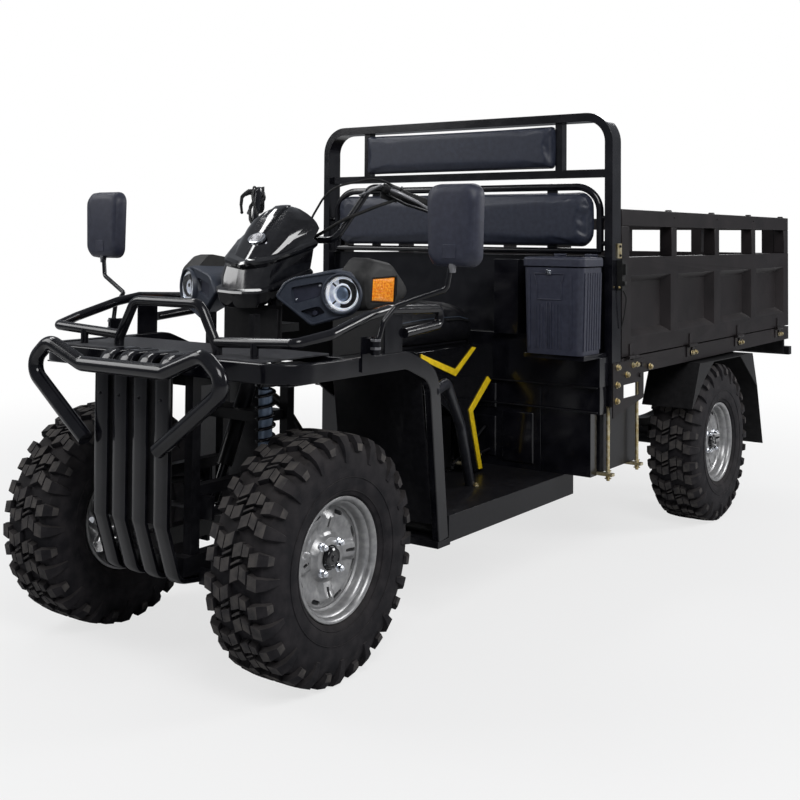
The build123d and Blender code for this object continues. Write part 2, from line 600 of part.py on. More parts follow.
post_edges = [GATE_START] + bay_edges + [BED_REAR]
for side, word in ((1, "left"), (-1, "right")):
    x0, x1 = sorted((side * GATE_X, side * BED_HALF_W))
    with BuildPart() as gate_posts:
        for y0, y1 in zip(post_edges[::2], post_edges[1::2]):
            block(x0, x1, y0, y1, WINDOW_Z[0], WINDOW_Z[1])
    save(gate_posts, f"gate_posts_{word}")
    with BuildPart() as gate_rail:
        block(x0, x1, GATE_START, BED_REAR, WINDOW_Z[1], GATE_TOP_Z)
    save(gate_rail, f"gate_rail_{word}")

TAIL_X = BED_HALF_W - GATE_T - GATE_GAP
with BuildPart() as tailgate:
    block(-TAIL_X, TAIL_X, BED_REAR - GATE_T, BED_REAR, GATE_Z, GATE_TOP_Z)
    for x0, x1 in ((-TAIL_X + 60, -227), (-173, 173), (227, TAIL_X - 60)):
        block(x0, x1, BED_REAR - GATE_T, BED_REAR, WINDOW_Z[0], WINDOW_Z[1], Mode.SUBTRACT)
        with BuildSketch(Plane(origin=(0, fy(BED_REAR), 0), x_dir=(1, 0, 0), z_dir=(0, -1, 0))):
            with Locations(((x0 + x1) / 2, sum(PRESS_Z) / 2)):
                Rectangle(x1 - x0 - 20, PRESS_Z[1] - PRESS_Z[0])
        extrude(amount=PRESS_DEPTH, taper=36, mode=Mode.SUBTRACT)
    for x in TAIL_HINGES:
        half = HINGE_LEN / 6 - 1
        rod((x - half, TAIL_HINGE_Y, HINGE_Z), (x + half, TAIL_HINGE_Y, HINGE_Z), HINGE_R)
        block(x - half, x + half, BED_REAR, BED_REAR + 4, HINGE_Z, 790)
        block(x - half, x + half, BED_REAR, TAIL_HINGE_Y, HINGE_Z + 3, HINGE_Z + HINGE_R)
        rod((x - half, TAIL_HINGE_Y, HINGE_Z), (x + half, TAIL_HINGE_Y, HINGE_Z), PIN_R + RUNNING, Mode.SUBTRACT)
save(tailgate, "tailgate")

# Rear bar and lamps, rear mudguards, hung box

with BuildPart() as tail_bar:
    block(-BED_HALF_W, BED_HALF_W, 3345, REAR_REACH, 600, 640)
    for side in (1, -1):
        x0, x1 = sorted((side * (REAR_RAIL_X - 25), side * (REAR_RAIL_X + 25)))
        block(x0, x1, 3300, 3345, 600, 640)
save(tail_bar, "tail_bar")

with BuildPart() as tail_lamps:
    block(470, 610, 3350, 3380, 640, 690)
    fillet(tail_lamps.faces().sort_by(Axis.Y)[-1].edges(), 8)
    mirror(about=Plane.YZ)
save(tail_lamps, "tail_lamps")

GUARD_OUT = 690.0
GUARD_IN = 480.0
GUARD_T = 4.0
GUARD = (
    # y, z along the plate
    (1965, 500), (2050, 668), (2683, 659), (2743, 511), (2818, 246))
GUARD_FLANGES = (
    # outer side flanges, clear of the tyre
    ((1965, 500), (2050, 670), (2213, 670), (2110, 612)), ((2525, 664), (2683, 661), (2743, 511)))
with BuildPart() as rear_mudguards:
    with BuildSketch(Plane.YZ.offset(GUARD_IN)):
        with BuildLine():
            upper = Polyline(*[(fy(y), z) for y, z in GUARD])
            offset(amount=GUARD_T, side=Side.LEFT)
        make_face()
    extrude(amount=GUARD_OUT - GUARD_IN)
    for outline in GUARD_FLANGES:
        side_plate(outline, GUARD_OUT - GUARD_T, GUARD_OUT)
    for y in (2080, 2560):
        block(REAR_RAIL_X + REAR_RAIL_W / 2, GUARD_IN + 40, y - 15, y + 15, 644, 670)
    mirror(about=Plane.YZ)
save(rear_mudguards, "rear_mudguards")

HANGER_TOP_Z = 345.0
with BuildPart() as hung_box:
    block(REAR_RAIL_X + 30, 600, 1345, 1655, HANGER_TOP_Z, 565)
    fillet(hung_box.edges().filter_by(Axis.Z), 14)
    for y in (1400, 1600):
        block(REAR_RAIL_X + REAR_RAIL_W / 2, REAR_RAIL_X + 60, y - 12, y + 12, 560, 640)
    mirror(about=Plane.YZ)
save(hung_box, "hung_boxes")

ROD_X = 622.0
with BuildPart() as hanger_rods:
    for y, top in ((1345, HOOP_FOOT_Z - 8), (1590, BED_Z)):
        block(REAR_RAIL_X + 30, ROD_X + 20, y - 12, y + 12, 335, HANGER_TOP_Z)
        rod((ROD_X, y, 318), (ROD_X, y, top), 6)
    mirror(about=Plane.YZ)
save(hanger_rods, "hanger_rods")

# Front guard: bent tube loop with four rolled flat bars

BUMPER_R = 21.0
BUMPER_Y = -FRONT_REACH + BUMPER_R
with BuildPart() as bull_bar:
    tube([(142, BUMPER_Y, 613), (391, BUMPER_Y, 797), (304, BUMPER_Y, 869), (163, BUMPER_Y, 816),
          (-163, BUMPER_Y, 816), (-304, BUMPER_Y, 869), (-391, BUMPER_Y, 797), (-142, BUMPER_Y, 613)], BUMPER_R, 45)
save(bull_bar, "bull_bar")

PLATE_Z = 851.0
BAR_W = 52.0
BAR_T = 6.0
BAR_XS = (-113, -38, 41, 124)
BAR_Y = BUMPER_Y + BUMPER_R + BAR_T / 2 + RUNNING
with BuildPart() as grille:
    for x in BAR_XS:
        with BuildLine() as route:
            FilletPolyline(at(x, -170, PLATE_Z + 3), at(x, -262, PLATE_Z + 3), at(x, BAR_Y, 800), at(x, BAR_Y, 480), at(x, -205, 350),
                           radius=36)
        with BuildSketch(Plane(origin=route.line @ 0, x_dir=(1, 0, 0), z_dir=route.line % 0)) as section:
            Rectangle(BAR_W, BAR_T)
        sweep(section.sketch, path=route.line)
    block(-150, 150, BAR_Y, BAR_Y + 12, 600, 640)
    block(-150, 150, -206, -195, 345, 375)
    for side in (1, -1):
        x0, x1 = sorted((side * 118, side * 142))
        block(x0, x1, BAR_Y, -195, 606, 634)
save(grille, "grille")

# Rack over the front: upper round rail with a hoop, lower band, plate

BAND_TOP_Z = 846.0
BAND_X = 490.0
RAIL_R = 14.0
RAIL = (
    # right half of the loop is mirrored
    (195, -158, 884), (470, -158, 896), (505, -60, 915), (505, 100, 955), (505, 190, 968), (505, 445, 958),
    (505, 445, 912), (505, 268, 898))
with BuildPart() as front_rack:
    tube(RAIL, RAIL_R, 20)
    rod((337, -166, PLATE_Z), (337, -166, 892), 11)
    block(BAND_X + 7, BAND_X + 12, 180, 262, BAND_TOP_Z, 958)
    mirror(about=Plane.YZ)
    tube([(-195, -158, PLATE_Z), (-195, -158, 872), (-130, -158, 984), (130, -158, 984), (195, -158, 872),
          (195, -158, PLATE_Z)], RAIL_R, 40)
save(front_rack, "front_rack")

BAND_H = BAND_TOP_Z - TOP_RAIL_Z
BAND_Z = BAND_TOP_Z - BAND_H / 2
BAND_T = 24.0
POST_FOOT_Z = 275.0
with BuildPart() as rack_band:
    box_tube([(-BAND_X, 481, POST_FOOT_Z), (-BAND_X, 428, 765), (-BAND_X, 290, BAND_Z), (-BAND_X, -204, BAND_Z),
              (BAND_X, -204, BAND_Z), (BAND_X, 290, BAND_Z), (BAND_X, 428, 765), (BAND_X, 481, POST_FOOT_Z)],
             BAND_T, BAND_H, 90, (0, 1, 0))
    block(-BAND_X + 8, BAND_X - 8, 40, 64, BAND_TOP_Z - 22, BAND_TOP_Z)
save(rack_band, "rack_band")

with BuildPart() as rack_plate:
    block(-400, 400, -212, 62, BAND_TOP_Z, PLATE_Z)
save(rack_plate, "rack_plate")

with BuildPart() as fenders:
    side_plate([(-190, 790), (-190, 794), (392, 794), (459, 322), (455, 322), (388, 790)], 145, 476)
    block(145, 268, -191, 60, 789, 796, Mode.SUBTRACT)
    mirror(about=Plane.YZ)
save(fenders, "front_fenders")

# Footboards with leg guards

FOOT_X = 502.0
FOOT_REAR = 1316.0
with BuildPart() as footboards:
    block(150, FOOT_X, 508, FOOT_REAR, FOOT_Z - 4, FOOT_Z)
    block(FOOT_X - 8, FOOT_X, 508, FOOT_REAR, 262, FOOT_Z)
    block(150, FOOT_X, 450, 516, 255, POST_FOOT_Z)
    block(150, FOOT_X, 508, 516, POST_FOOT_Z, FOOT_Z)
    for y in (522, 900, 1180):
        block(150, FOOT_X - 4, y - 14, y + 14, 296, FOOT_Z - 2)
    tube([(490, 440, 715), (455, 560, 725), (380, 760, 560), (330, 900, 340)], 12, 60)
    mirror(about=Plane.YZ)
    add(rack_band.part, mode=Mode.SUBTRACT)
save(footboards, "footboards")

# Body: tank cover, side panels with raised trims, saddle

with BuildPart() as body_cover:
    side_plate([(405, TOP_RAIL_Z), (405, 950), (480, 985), (600, 965), (690, 900), (722, 840), (722, TOP_RAIL_Z)],
               -135, 135)
    fillet(body_cover.edges().filter_by(GeomType.LINE).group_by(Axis.Z)[-1], 20)
save(body_cover, "body_cover")

PANEL_X = 236.0
with BuildPart() as side_panels:
    side_plate([(700, 792), (1180, 792), (1184, 672), (1046, 569), (1122, 350), (1062, 346), (930, 560), (700, 700)],
               PANEL_X, PANEL_X + 12)
    block(145, PANEL_X, 720, 1160, 780, 792)
    mirror(about=Plane.YZ)
save(side_panels, "side_panels")

TRIM = 13.0
with BuildPart() as side_trims:
    side_plate([(722, 786), (722, 768), (930, 694), (1062, 782), (1040, 786), (930, 718)], PANEL_X + 12, PANEL_X + 16)
    side_plate([(1142, 674), (1018, 570), (1086, 354), (1108, 354), (1044, 562), (1164, 658)], PANEL_X + 12,
               PANEL_X + 16)
    mirror(about=Plane.YZ)
save(side_trims, "side_trims")

with BuildPart() as saddle:
    side_plate([(732, TOP_RAIL_Z), (732, 900), (800, 935), (1170, 925), (1228, 900), (1236, 830), (1224, TOP_RAIL_Z)],
               -160, 160)
    rims = saddle.edges().filter_by(lambda edge: abs(edge.center().X) > 150 and edge.center().Z > 800)
    fillet(rims, 18)
save(saddle, "saddle")

# Front cowl: five sections from the chin to the tip, open at the back

COWL = (
    # z, nose y, nose half width, cheek y, cheek half width, back y, back half width
    (955, 135, 60, 175, 108, 296, 120), (1010, 115, 50, 165, 115, 296, 135), (1090, 140, 40, 190, 110, 296, 138),
    (1175, 205, 40, 250, 105, 296, 125), (1258, 258, 24, 275, 42, 296, 52))
COWL_WALL = 7.0

with BuildPart() as front_cowl:
    for z, nose_y, nose_x, cheek_y, cheek_x, back_y, back_x in COWL:
        with BuildSketch(Plane.XY.offset(z)):
            with BuildLine():
                Polyline((-nose_x, fy(nose_y)), (nose_x, fy(nose_y)), (cheek_x, fy(cheek_y)), (back_x, fy(back_y)),
                         (-back_x, fy(back_y)), (-cheek_x, fy(cheek_y)), close=True)
            make_face()
    loft(ruled=True)
    for z, nose_y, nose_x, cheek_y, cheek_x, back_y, back_x in COWL:
        lift = -1 if z == COWL[0][0] else (-12 if z == COWL[-1][0] else 0)
        with BuildSketch(Plane.XY.offset(z + lift)):
            with BuildLine():
                Polyline((-nose_x + 4, fy(nose_y + COWL_WALL)), (nose_x - 4, fy(nose_y + COWL_WALL)),
                         (cheek_x - COWL_WALL, fy(cheek_y + 4)), (back_x - COWL_WALL, fy(back_y + 1)),
                         (-back_x + COWL_WALL, fy(back_y + 1)), (-cheek_x + COWL_WALL, fy(cheek_y + 4)), close=True)
            make_face()
    loft(ruled=True, mode=Mode.SUBTRACT)
    block(CRADLE_X, 120, 188, 208, 962, 1000)
    block(-120, -CRADLE_X, 188, 208, 962, 1000)
save(front_cowl, "front_cowl")

# Headlamp pods: pointed face turned outward, lamp at the outer end

POD_TURN = 22.0
POD_AT = at(262, 205, 1003)
POD_FACE = Plane(origin=POD_AT, x_dir=(cos(radians(POD_TURN)), sin(radians(POD_TURN)), 0),
                 z_dir=(sin(radians(POD_TURN)), -cos(radians(POD_TURN)), 0))
POD_OUTLINE = ((-112, -30), (-92, 42), (20, 72), (92, 76), (126, 30), (122, -24), (72, -66), (-46, -100))
LAMP = (56.0, 5.0)
LAMP_R = 50.0
BEZEL_R = 60.0
FAIRING_X = (290.0, 384.0)
FAIRING = (
    # y, z of the rounded cover behind the lamp
    (236, 1060), (296, 1109), (396, 1094), (500, 992), (384, 954), (248, 950))

with BuildPart() as head_pods:
    with BuildSketch(POD_FACE):
        with BuildLine():
            Polyline(*POD_OUTLINE, close=True)
        make_face()
    with BuildSketch(POD_FACE.offset(-250)):
        with BuildLine():
            Polyline(*[(0.45 * u - 5, 0.4 * v + 42) for u, v in POD_OUTLINE], close=True)
        make_face()
    loft(ruled=True)
    with BuildSketch(POD_FACE.offset(-45)):
        with Locations(LAMP):
            Circle(BEZEL_R)
    extrude(amount=53)
    with BuildSketch(POD_FACE.offset(-40)):
        with Locations(LAMP):
            Circle(LAMP_R)
    extrude(amount=60, mode=Mode.SUBTRACT)
    with BuildSketch(Plane.YZ.offset(FAIRING_X[0])) as fairing:
        with BuildLine():
            Polyline(*[(fy(y), z) for y, z in FAIRING], close=True)
        make_face()
    extrude(fairing.sketch, amount=FAIRING_X[1] - FAIRING_X[0], dir=(1, 0, 0), taper=8)
    block(CRADLE_X, 212, 190, 206, 930, 946)
    block(352, 390, 285, 400, 980, 1042, Mode.SUBTRACT)
    with BuildSketch(POD_FACE.offset(-40)) as opening:
        with Locations(LAMP):
            Circle(LAMP_R)
    extrude(opening.sketch, amount=60, mode=Mode.SUBTRACT)
    mirror(about=Plane.YZ)
save(head_pods, "head_pods")

with BuildPart() as headlamps:
    with BuildSketch(POD_FACE.offset(-40)):
        with Locations(LAMP):
            Circle(LAMP_R - 0.2)
    extrude(amount=44)
    mirror(about=Plane.YZ)
save(headlamps, "headlamps")

with BuildPart() as turn_signals:
    block(352.2, 376, 285.2, 399.8, 980.2, 1041.8)
    mirror(about=Plane.YZ)
save(turn_signals, "turn_signals")

# Handlebar on its tilted column, with grips and levers

BAR_R = 11.0
GRIP_R = 16.5
BAR = ((0, 368, 1157), (172, 368, 1157), (236, 466, 1328), (372, 616, 1262))
with BuildPart() as handlebar:
    rod((0, column_y(COLUMN_LOW_Z), COLUMN_LOW_Z), (0, column_y(1178), 1178), COLUMN_R)
    tube(BAR, BAR_R, 40)
    along = Vector(*BAR[3]) - Vector(*BAR[2])
    grip_start = Vector(*BAR[2]) + along * 0.36
    rod(tuple(grip_start), tuple(Vector(*BAR[3]) + along * 0.02), GRIP_R)
    lever = [tuple(grip_start + Vector(-10, -28, -4)), tuple(grip_start + Vector(40, 5, -35)),
             tuple(Vector(*BAR[3]) + Vector(10, -45, -15))]
    tube(lever, 5.5, 15)
    rod(tuple(grip_start - along * 0.1), tuple(grip_start), 20)
    rod(tuple(grip_start - along * 0.08 + Vector(4, 0, 0)), lever[0], 9)
    mirror(about=Plane.YZ)
    side_plate([(column_y(412) - 10, 412), (column_y(412) + 10, 416), (STEER_ARM + 10, 385), (STEER_ARM + 10, 357),
                (STEER_ARM - 10, 357), (STEER_ARM - 10, 372)], -10, 10)
save(handlebar, "handlebar")

# Mirrors on bent stalks from the rack's side plates

with BuildPart() as mirror_stalks:
    block(BAND_X + 12, BAND_X + 18, 70, 125, 806, 900)
    tube([(530, 100, 860), (540, 120, 940), (549, 162, 979), (690, 200, 1030), (705, 205, 1114)], 7, 18)
    rod((530, 100, 852), (530, 100, 900), 13)
    block(BAND_X + 18, 530, 88, 112, 856, 896)
    mirror(about=Plane.YZ)
save(mirror_stalks, "mirror_stalks")

with BuildPart() as mirrors:
    with BuildSketch(Plane(origin=at(705, 232, 1201), x_dir=(1, 0, 0), z_dir=(0, -1, 0))):
        RectangleRounded(170, 222, 38)
    extrude(amount=44, taper=8)
    mirror(about=Plane.YZ)
    add(mirror_stalks.part, mode=Mode.SUBTRACT)
save(mirrors, "mirrors")
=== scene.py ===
import json
from math import cos, hypot, pi, radians, sin, tau

import bmesh
import bpy
from mathutils import Matrix, Vector


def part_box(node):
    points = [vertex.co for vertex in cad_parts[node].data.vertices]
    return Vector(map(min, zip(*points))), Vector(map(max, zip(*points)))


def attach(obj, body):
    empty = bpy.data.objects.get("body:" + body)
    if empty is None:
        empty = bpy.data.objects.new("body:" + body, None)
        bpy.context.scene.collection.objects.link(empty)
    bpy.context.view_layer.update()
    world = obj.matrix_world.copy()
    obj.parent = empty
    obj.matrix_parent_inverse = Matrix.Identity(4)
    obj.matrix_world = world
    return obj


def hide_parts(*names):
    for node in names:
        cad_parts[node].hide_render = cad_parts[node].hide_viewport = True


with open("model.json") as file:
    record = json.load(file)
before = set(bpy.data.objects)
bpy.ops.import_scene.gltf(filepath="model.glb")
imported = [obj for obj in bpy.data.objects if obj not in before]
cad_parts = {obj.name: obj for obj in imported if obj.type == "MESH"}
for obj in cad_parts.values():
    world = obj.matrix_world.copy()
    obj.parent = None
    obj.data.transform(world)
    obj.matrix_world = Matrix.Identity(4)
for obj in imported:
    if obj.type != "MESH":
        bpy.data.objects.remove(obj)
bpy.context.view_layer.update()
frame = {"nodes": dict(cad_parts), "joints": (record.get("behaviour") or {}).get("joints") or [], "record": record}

JOINTS = {joint["name"]: joint for joint in frame["joints"]}
SLOTS = {row["node"]: row["material_slot"] for row in frame["record"]["subparts"]}
SIDES = ((1, "left"), (-1, "right"))

# Lengths below are in millimetres; those along the vehicle count from the front axle
MM = 0.001
AXLE_Y = JOINTS["kingpin_left"]["pos_m"][1] / MM
TYRE_R = JOINTS["spin_front_left"]["pos_m"][2] / MM


def at(x, y, z):
    """Point given from the front axle, in the frame."""
    return Vector((x, AXLE_Y + y, z)) * MM


# Materials

TINT_STOPS = (0.35, 0.7)
DUST_COLOUR = (0.22, 0.19, 0.16, 1)
RELIEF_DEPTH = 0.0008


def set_inputs(tree, node, inputs):
    """Gives each named input of a shader node its value, or the output that feeds it."""
    for name, value in inputs.items():
        if isinstance(value, bpy.types.NodeSocket):
            tree.links.new(value, node.inputs[name])
        else:
            node.inputs[name].default_value = value


def add_node(tree, kind, inputs):
    """Shader node of a kind with its inputs set."""
    made = tree.nodes.new("ShaderNode" + kind)
    set_inputs(tree, made, inputs)
    return made


def surface(name, colour, second=None, metallic=0.0, rough=(0.4, 0.5), scale=60.0, bump=0.1, grain=900.0,
            coat=0.0, specular=0.5, dust=0.0, transmission=0.0, ior=1.45, emission=0.0):
    """Shader with a slowly varying colour, a varying roughness and a fine relief."""
    made = bpy.data.materials.new(name)
    made.use_nodes = True
    tree = made.node_tree
    place = add_node(tree, "TexCoord", {}).outputs["Object"]
    cloud = add_node(tree, "TexNoise", {"Vector": place, "Scale": scale, "Detail": 5.0}).outputs["Fac"]
    ramp = add_node(tree, "ValToRGB", {"Fac": cloud})
    second = second or [min(1.0, v * 1.35 + 0.004) for v in colour]
    for stop, position, tone in zip(ramp.color_ramp.elements, TINT_STOPS, (colour, second)):
        stop.position = position
        stop.color = (*tone, 1)
    tint = ramp.outputs["Color"]
    if dust:
        normal = add_node(tree, "NewGeometry", {}).outputs["Normal"]
        upward = add_node(tree, "SeparateXYZ", {"Vector": normal}).outputs["Z"]
        amount = add_node(tree, "Math", {0: upward, 1: dust})
        amount.operation = "MULTIPLY"
        amount.use_clamp = True
        mix = add_node(tree, "Mix", {})
        mix.data_type = "RGBA"
        set_inputs(tree, mix, {"Factor": amount.outputs["Value"], "A": tint, "B": DUST_COLOUR})
        tint = mix.outputs["Result"]
    spread = add_node(tree, "MapRange", {"Value": cloud, "To Min": rough[0], "To Max": rough[1]})
    inputs = {"Base Color": tint, "Roughness": spread.outputs["Result"], "Metallic": metallic, "IOR": ior,
              "Specular IOR Level": specular, "Coat Weight": coat, "Coat Roughness": 0.08,
              "Transmission Weight": transmission}
    if emission:
        inputs.update({"Emission Color": tint, "Emission Strength": emission})
    if bump:
        fine = add_node(tree, "TexNoise", {"Vector": place, "Scale": grain, "Detail": 3.0})
        relief = add_node(tree, "Bump", {"Height": fine.outputs["Fac"], "Strength": bump,
                                         "Distance": RELIEF_DEPTH})
        inputs["Normal"] = relief.outputs["Normal"]
    set_inputs(tree, tree.nodes["Principled BSDF"], inputs)
    return made


LOOKS = {
    "black_frame": dict(colour=(0.0035, 0.0035, 0.0048), rough=(0.28, 0.46), coat=0.1, specular=0.22,
                        bump=0.05, dust=0.008),
    "black_gloss": dict(colour=(0.002, 0.002, 0.0035), rough=(0.12, 0.24), coat=0.22, specular=0.35,
                        bump=0.03, scale=18),
    "bed_paint": dict(colour=(0.0075, 0.006, 0.0065), second=(0.0125, 0.0098, 0.0105), rough=(0.34, 0.52),
                      specular=0.2, bump=0.12, scale=9, dust=0.012),
    "plate_texture": dict(colour=(0.017, 0.0175, 0.022), second=(0.045, 0.046, 0.05), rough=(0.35, 0.6),
                          bump=0.9, grain=420, scale=40),
    "bare_steel": dict(colour=(0.2, 0.2, 0.21), metallic=0.9, rough=(0.3, 0.5)),
    "spring_black": dict(colour=(0.003, 0.003, 0.0045), rough=(0.18, 0.32), coat=0.25, specular=0.3),
    "damper_blue": dict(colour=(0.13, 0.18, 0.26), second=(0.2, 0.25, 0.33), metallic=0.4, rough=(0.3, 0.4)),
    "engine_alloy": dict(colour=(0.012, 0.012, 0.014), metallic=0.5, rough=(0.45, 0.6), bump=0.4),
    "tube_satin": dict(colour=(0.011, 0.0115, 0.015), second=(0.02, 0.021, 0.026), rough=(0.26, 0.4),
                       coat=0.15, specular=0.4, bump=0.06),
    "yellow_zinc": dict(colour=(0.4, 0.31, 0.14), second=(0.62, 0.57, 0.42), metallic=0.85,
                        rough=(0.28, 0.42)),
    "chrome": dict(colour=(0.68, 0.7, 0.74), metallic=1.0, rough=(0.08, 0.16), bump=0.0),
    "rim_silver": dict(colour=(0.25, 0.25, 0.255), second=(0.35, 0.35, 0.35), metallic=0.65,
                       rough=(0.3, 0.42), bump=0.03, dust=0.03),
    "tyre": dict(colour=(0.006, 0.0057, 0.0075), second=(0.021, 0.019, 0.021), rough=(0.7, 0.92), bump=0.35,
                 scale=26, specular=0.22, dust=0.06),
    "tread_tops": dict(colour=(0.028, 0.0265, 0.028), second=(0.07, 0.064, 0.06), rough=(0.75, 0.92),
                       bump=0.4, scale=34, specular=0.22, dust=0.05),
    "pad_vinyl": dict(colour=(0.013, 0.016, 0.028), rough=(0.36, 0.48), bump=0.25, grain=1500, specular=0.45),
    "saddle_vinyl": dict(colour=(0.0035, 0.0035, 0.005), rough=(0.38, 0.52), bump=0.3, grain=1500,
                         specular=0.4),
    "box_plastic": dict(colour=(0.0145, 0.0165, 0.03), rough=(0.42, 0.56), bump=0.3, grain=1300),
    "pod_plastic": dict(colour=(0.026, 0.032, 0.047), second=(0.036, 0.043, 0.06), rough=(0.36, 0.5),
                        bump=0.3, grain=1300),
    "black_plastic": dict(colour=(0.0035, 0.0033, 0.004), rough=(0.45, 0.62), bump=0.3, specular=0.3),
    "fairing_plastic": dict(colour=(0.012, 0.0118, 0.012), rough=(0.5, 0.62), bump=0.25, specular=0.35),
    "rubber": dict(colour=(0.004, 0.004, 0.004), rough=(0.55, 0.7), bump=0.2, specular=0.3),
    "gloss_plastic": dict(colour=(0.002, 0.002, 0.003), rough=(0.06, 0.13), coat=0.6, bump=0.02),
    "yellow_trim": dict(colour=(0.72, 0.5, 0.01), rough=(0.25, 0.35), bump=0.05, coat=0.2),
    "lamp_lens": dict(colour=(0.95, 0.97, 1.0), rough=(0.01, 0.03), transmission=1.0, ior=1.2, bump=0.0),
    "lamp_white": dict(colour=(0.75, 0.8, 0.9), rough=(0.2, 0.3), emission=0.25, bump=0.0),
    "amber_lens": dict(colour=(0.72, 0.15, 0.003), second=(1.0, 0.42, 0.03), rough=(0.08, 0.15),
                       emission=0.06, bump=0.3, grain=260, scale=150),
    "red_lens": dict(colour=(0.11, 0.003, 0.003), rough=(0.08, 0.15), bump=0.3, grain=260),
    "mirror_glass": dict(colour=(0.8, 0.82, 0.84), metallic=1.0, rough=(0.02, 0.04), bump=0.0),
}
FINISH = {name: surface(name, **look) for name, look in LOOKS.items()}

for node, obj in frame["nodes"].items():
    obj.data.materials.clear()
    obj.data.materials.append(FINISH[SLOTS[node]])


# Mesh building

def frame_along(direction):
    """Two unit vectors across a direction."""
    direction = direction.normalized()
    side = direction.cross(Vector((0, 0, 1)))
    if side.length < 0.05:
        side = direction.cross(Vector((0, 1, 0)))
    side.normalize()
    return side, direction.cross(side).normalized()


def skin(bm, rings, closed=False, caps=True):
    """Faces between rings of points, given as lists of equal length."""
    made = [[bm.verts.new(p) for p in ring] for ring in rings]
    pairs = list(zip(made, made[1:]))
    if closed:
        pairs.append((made[-1], made[0]))
    for low, high in pairs:
        count = len(low)
        for k in range(count):
            bm.faces.new((low[k], low[(k + 1) % count], high[(k + 1) % count], high[k]))
    if caps and not closed:
        bm.faces.new(made[0])
        bm.faces.new(made[-1][::-1])


def rounded(points, radius, steps=6):
    """Route through points with its corners replaced by arcs; the radius is in the points' own unit."""
    points = [Vector(p) for p in points]
    route = [points[0]]
    for before, corner, after in zip(points, points[1:], points[2:]):
        into, out = (corner - before).normalized(), (after - corner).normalized()
        turn = into.angle(out)
        if turn < 0.02:
            continue
        reach = min(radius * sin(turn / 2) / cos(turn / 2), (corner - before).length * 0.49,
                    (after - corner).length * 0.49)
        start, end = corner - into * reach, corner + out * reach
        for step in range(steps + 1):
            t = step / steps
            route.append(start * (1 - t) ** 2 + corner * 2 * t * (1 - t) + end * t ** 2)
    route.append(points[-1])
    return route


def ring_about(centre, side, up, radius, sides):
    """Ring of points about a centre, in the plane of two directions; the radius in millimetres."""
    return [centre + (side * cos(tau * k / sides) + up * sin(tau * k / sides)) * radius * MM
            for k in range(sides)]


def heading(route, k):
    """Direction of a route at one of its points, from the point before to the point after."""
    return (route[min(k + 1, len(route) - 1)] - route[max(k - 1, 0)]).normalized()


def tube(bm, points, radius, sides=16, closed=False):
    """Round tube along a route, with one radius or a radius for each point, in millimetres."""
    route = [Vector(p) for p in points]
    radii = radius if isinstance(radius, (list, tuple)) else [radius] * len(route)
    side = frame_along(route[1] - route[0])[0]
    rings = []
    for k, point in enumerate(route):
        ahead = heading(route, k)
        if closed:
            ahead = (route[(k + 1) % len(route)] - route[k - 1]).normalized()
        side = (side - ahead * side.dot(ahead)).normalized()
        rings.append(ring_about(point, side, ahead.cross(side), radii[k], sides))
    skin(bm, rings, closed=closed)


def lathe(bm, profile, origin, axis=(1, 0, 0), sides=64):
    """Solid of revolution from (along, radius) points in millimetres."""
    axis = Vector(axis).normalized()
    side, up = frame_along(axis)
    rings = []
    for k in range(sides):
        out = side * cos(tau * k / sides) + up * sin(tau * k / sides)
        rings.append([origin + (axis * along + out * radius) * MM for along, radius in profile])
    skin(bm, rings, closed=True, caps=False)


def weld(bm, gap=1e-6):
    """Joins the points that lie closer than a gap, in metres."""
    bmesh.ops.remove_doubles(bm, verts=bm.verts, dist=gap)


def prism(bm, outline, shift):
    """Solid between an outline of points and the same outline moved."""
    skin(bm, [[Vector(p) for p in outline], [Vector(p) + shift for p in outline]])


def side_prism(bm, outline, x0, x1):
    """Plate with a (y, z) outline from x0 to x1, in millimetres."""
    prism(bm, [at(x0, y, z) for y, z in outline], at(x1, 0, 0) - at(x0, 0, 0))


def slab(bm, x0, x1, y0, y1, z0, z1):
    """Box between two corners in millimetres; x0 and x1 come in either order."""
    side_prism(bm, [(y0, z0), (y1, z0), (y1, z1), (y0, z1)], min(x0, x1), max(x0, x1))


def cylinder(bm, start, end, radius, sides=24, end_radius=None):
    """Round bar between two points of the frame; radii in millimetres."""
    start, end = Vector(start), Vector(end)
    side, up = frame_along(end - start)
    last = radius if end_radius is None else end_radius
    skin(bm, [ring_about(start, side, up, radius, sides), ring_about(end, side, up, last, sides)])


def bolt(bm, point, normal, size=8.0):
    """Hexagon bolt with washer; size is the thread in millimetres."""
    point, normal = Vector(point), Vector(normal).normalized()
    for low, high, radius, sides in ((0, 0.2, 1.1, 20), (0.2, 0.85, 0.92, 6), (0.8, 1.15, 0.5, 14)):
        cylinder(bm, point + normal * size * low * MM, point + normal * size * high * MM, size * radius, sides)


def coil(bm, low, high, radius, wire, turns, sides=10):
    """Helical spring between two points; radii in millimetres."""
    side, up = frame_along(high - low)
    steps = int(turns * 24)
    route = []
    for k in range(steps + 1):
        turn = tau * turns * k / steps
        route.append(low.lerp(high, k / steps) + (side * cos(turn) + up * sin(turn)) * radius * MM)
    tube(bm, route, wire, sides)


def add_object(name, data):
    """Object in the scene for a mesh, a light or a camera."""
    obj = bpy.data.objects.new(name, data)
    bpy.context.scene.collection.objects.link(obj)
    return obj


def mesh_from(bm, name):
    """Finished mesh with its faces outwards, from a mesh under construction."""
    bmesh.ops.recalc_face_normals(bm, faces=bm.faces)
    mesh = bpy.data.meshes.new(name)
    bm.to_mesh(mesh)
    bm.free()
    return mesh


def bmesh_from(mesh):
    """Copy of a mesh to build on."""
    bm = bmesh.new()
    bm.from_mesh(mesh)
    return bm


def mesh_of(obj):
    """New mesh of an object as its modifiers leave it."""
    graph = bpy.context.evaluated_depsgraph_get()
    return bpy.data.meshes.new_from_object(obj.evaluated_get(graph))


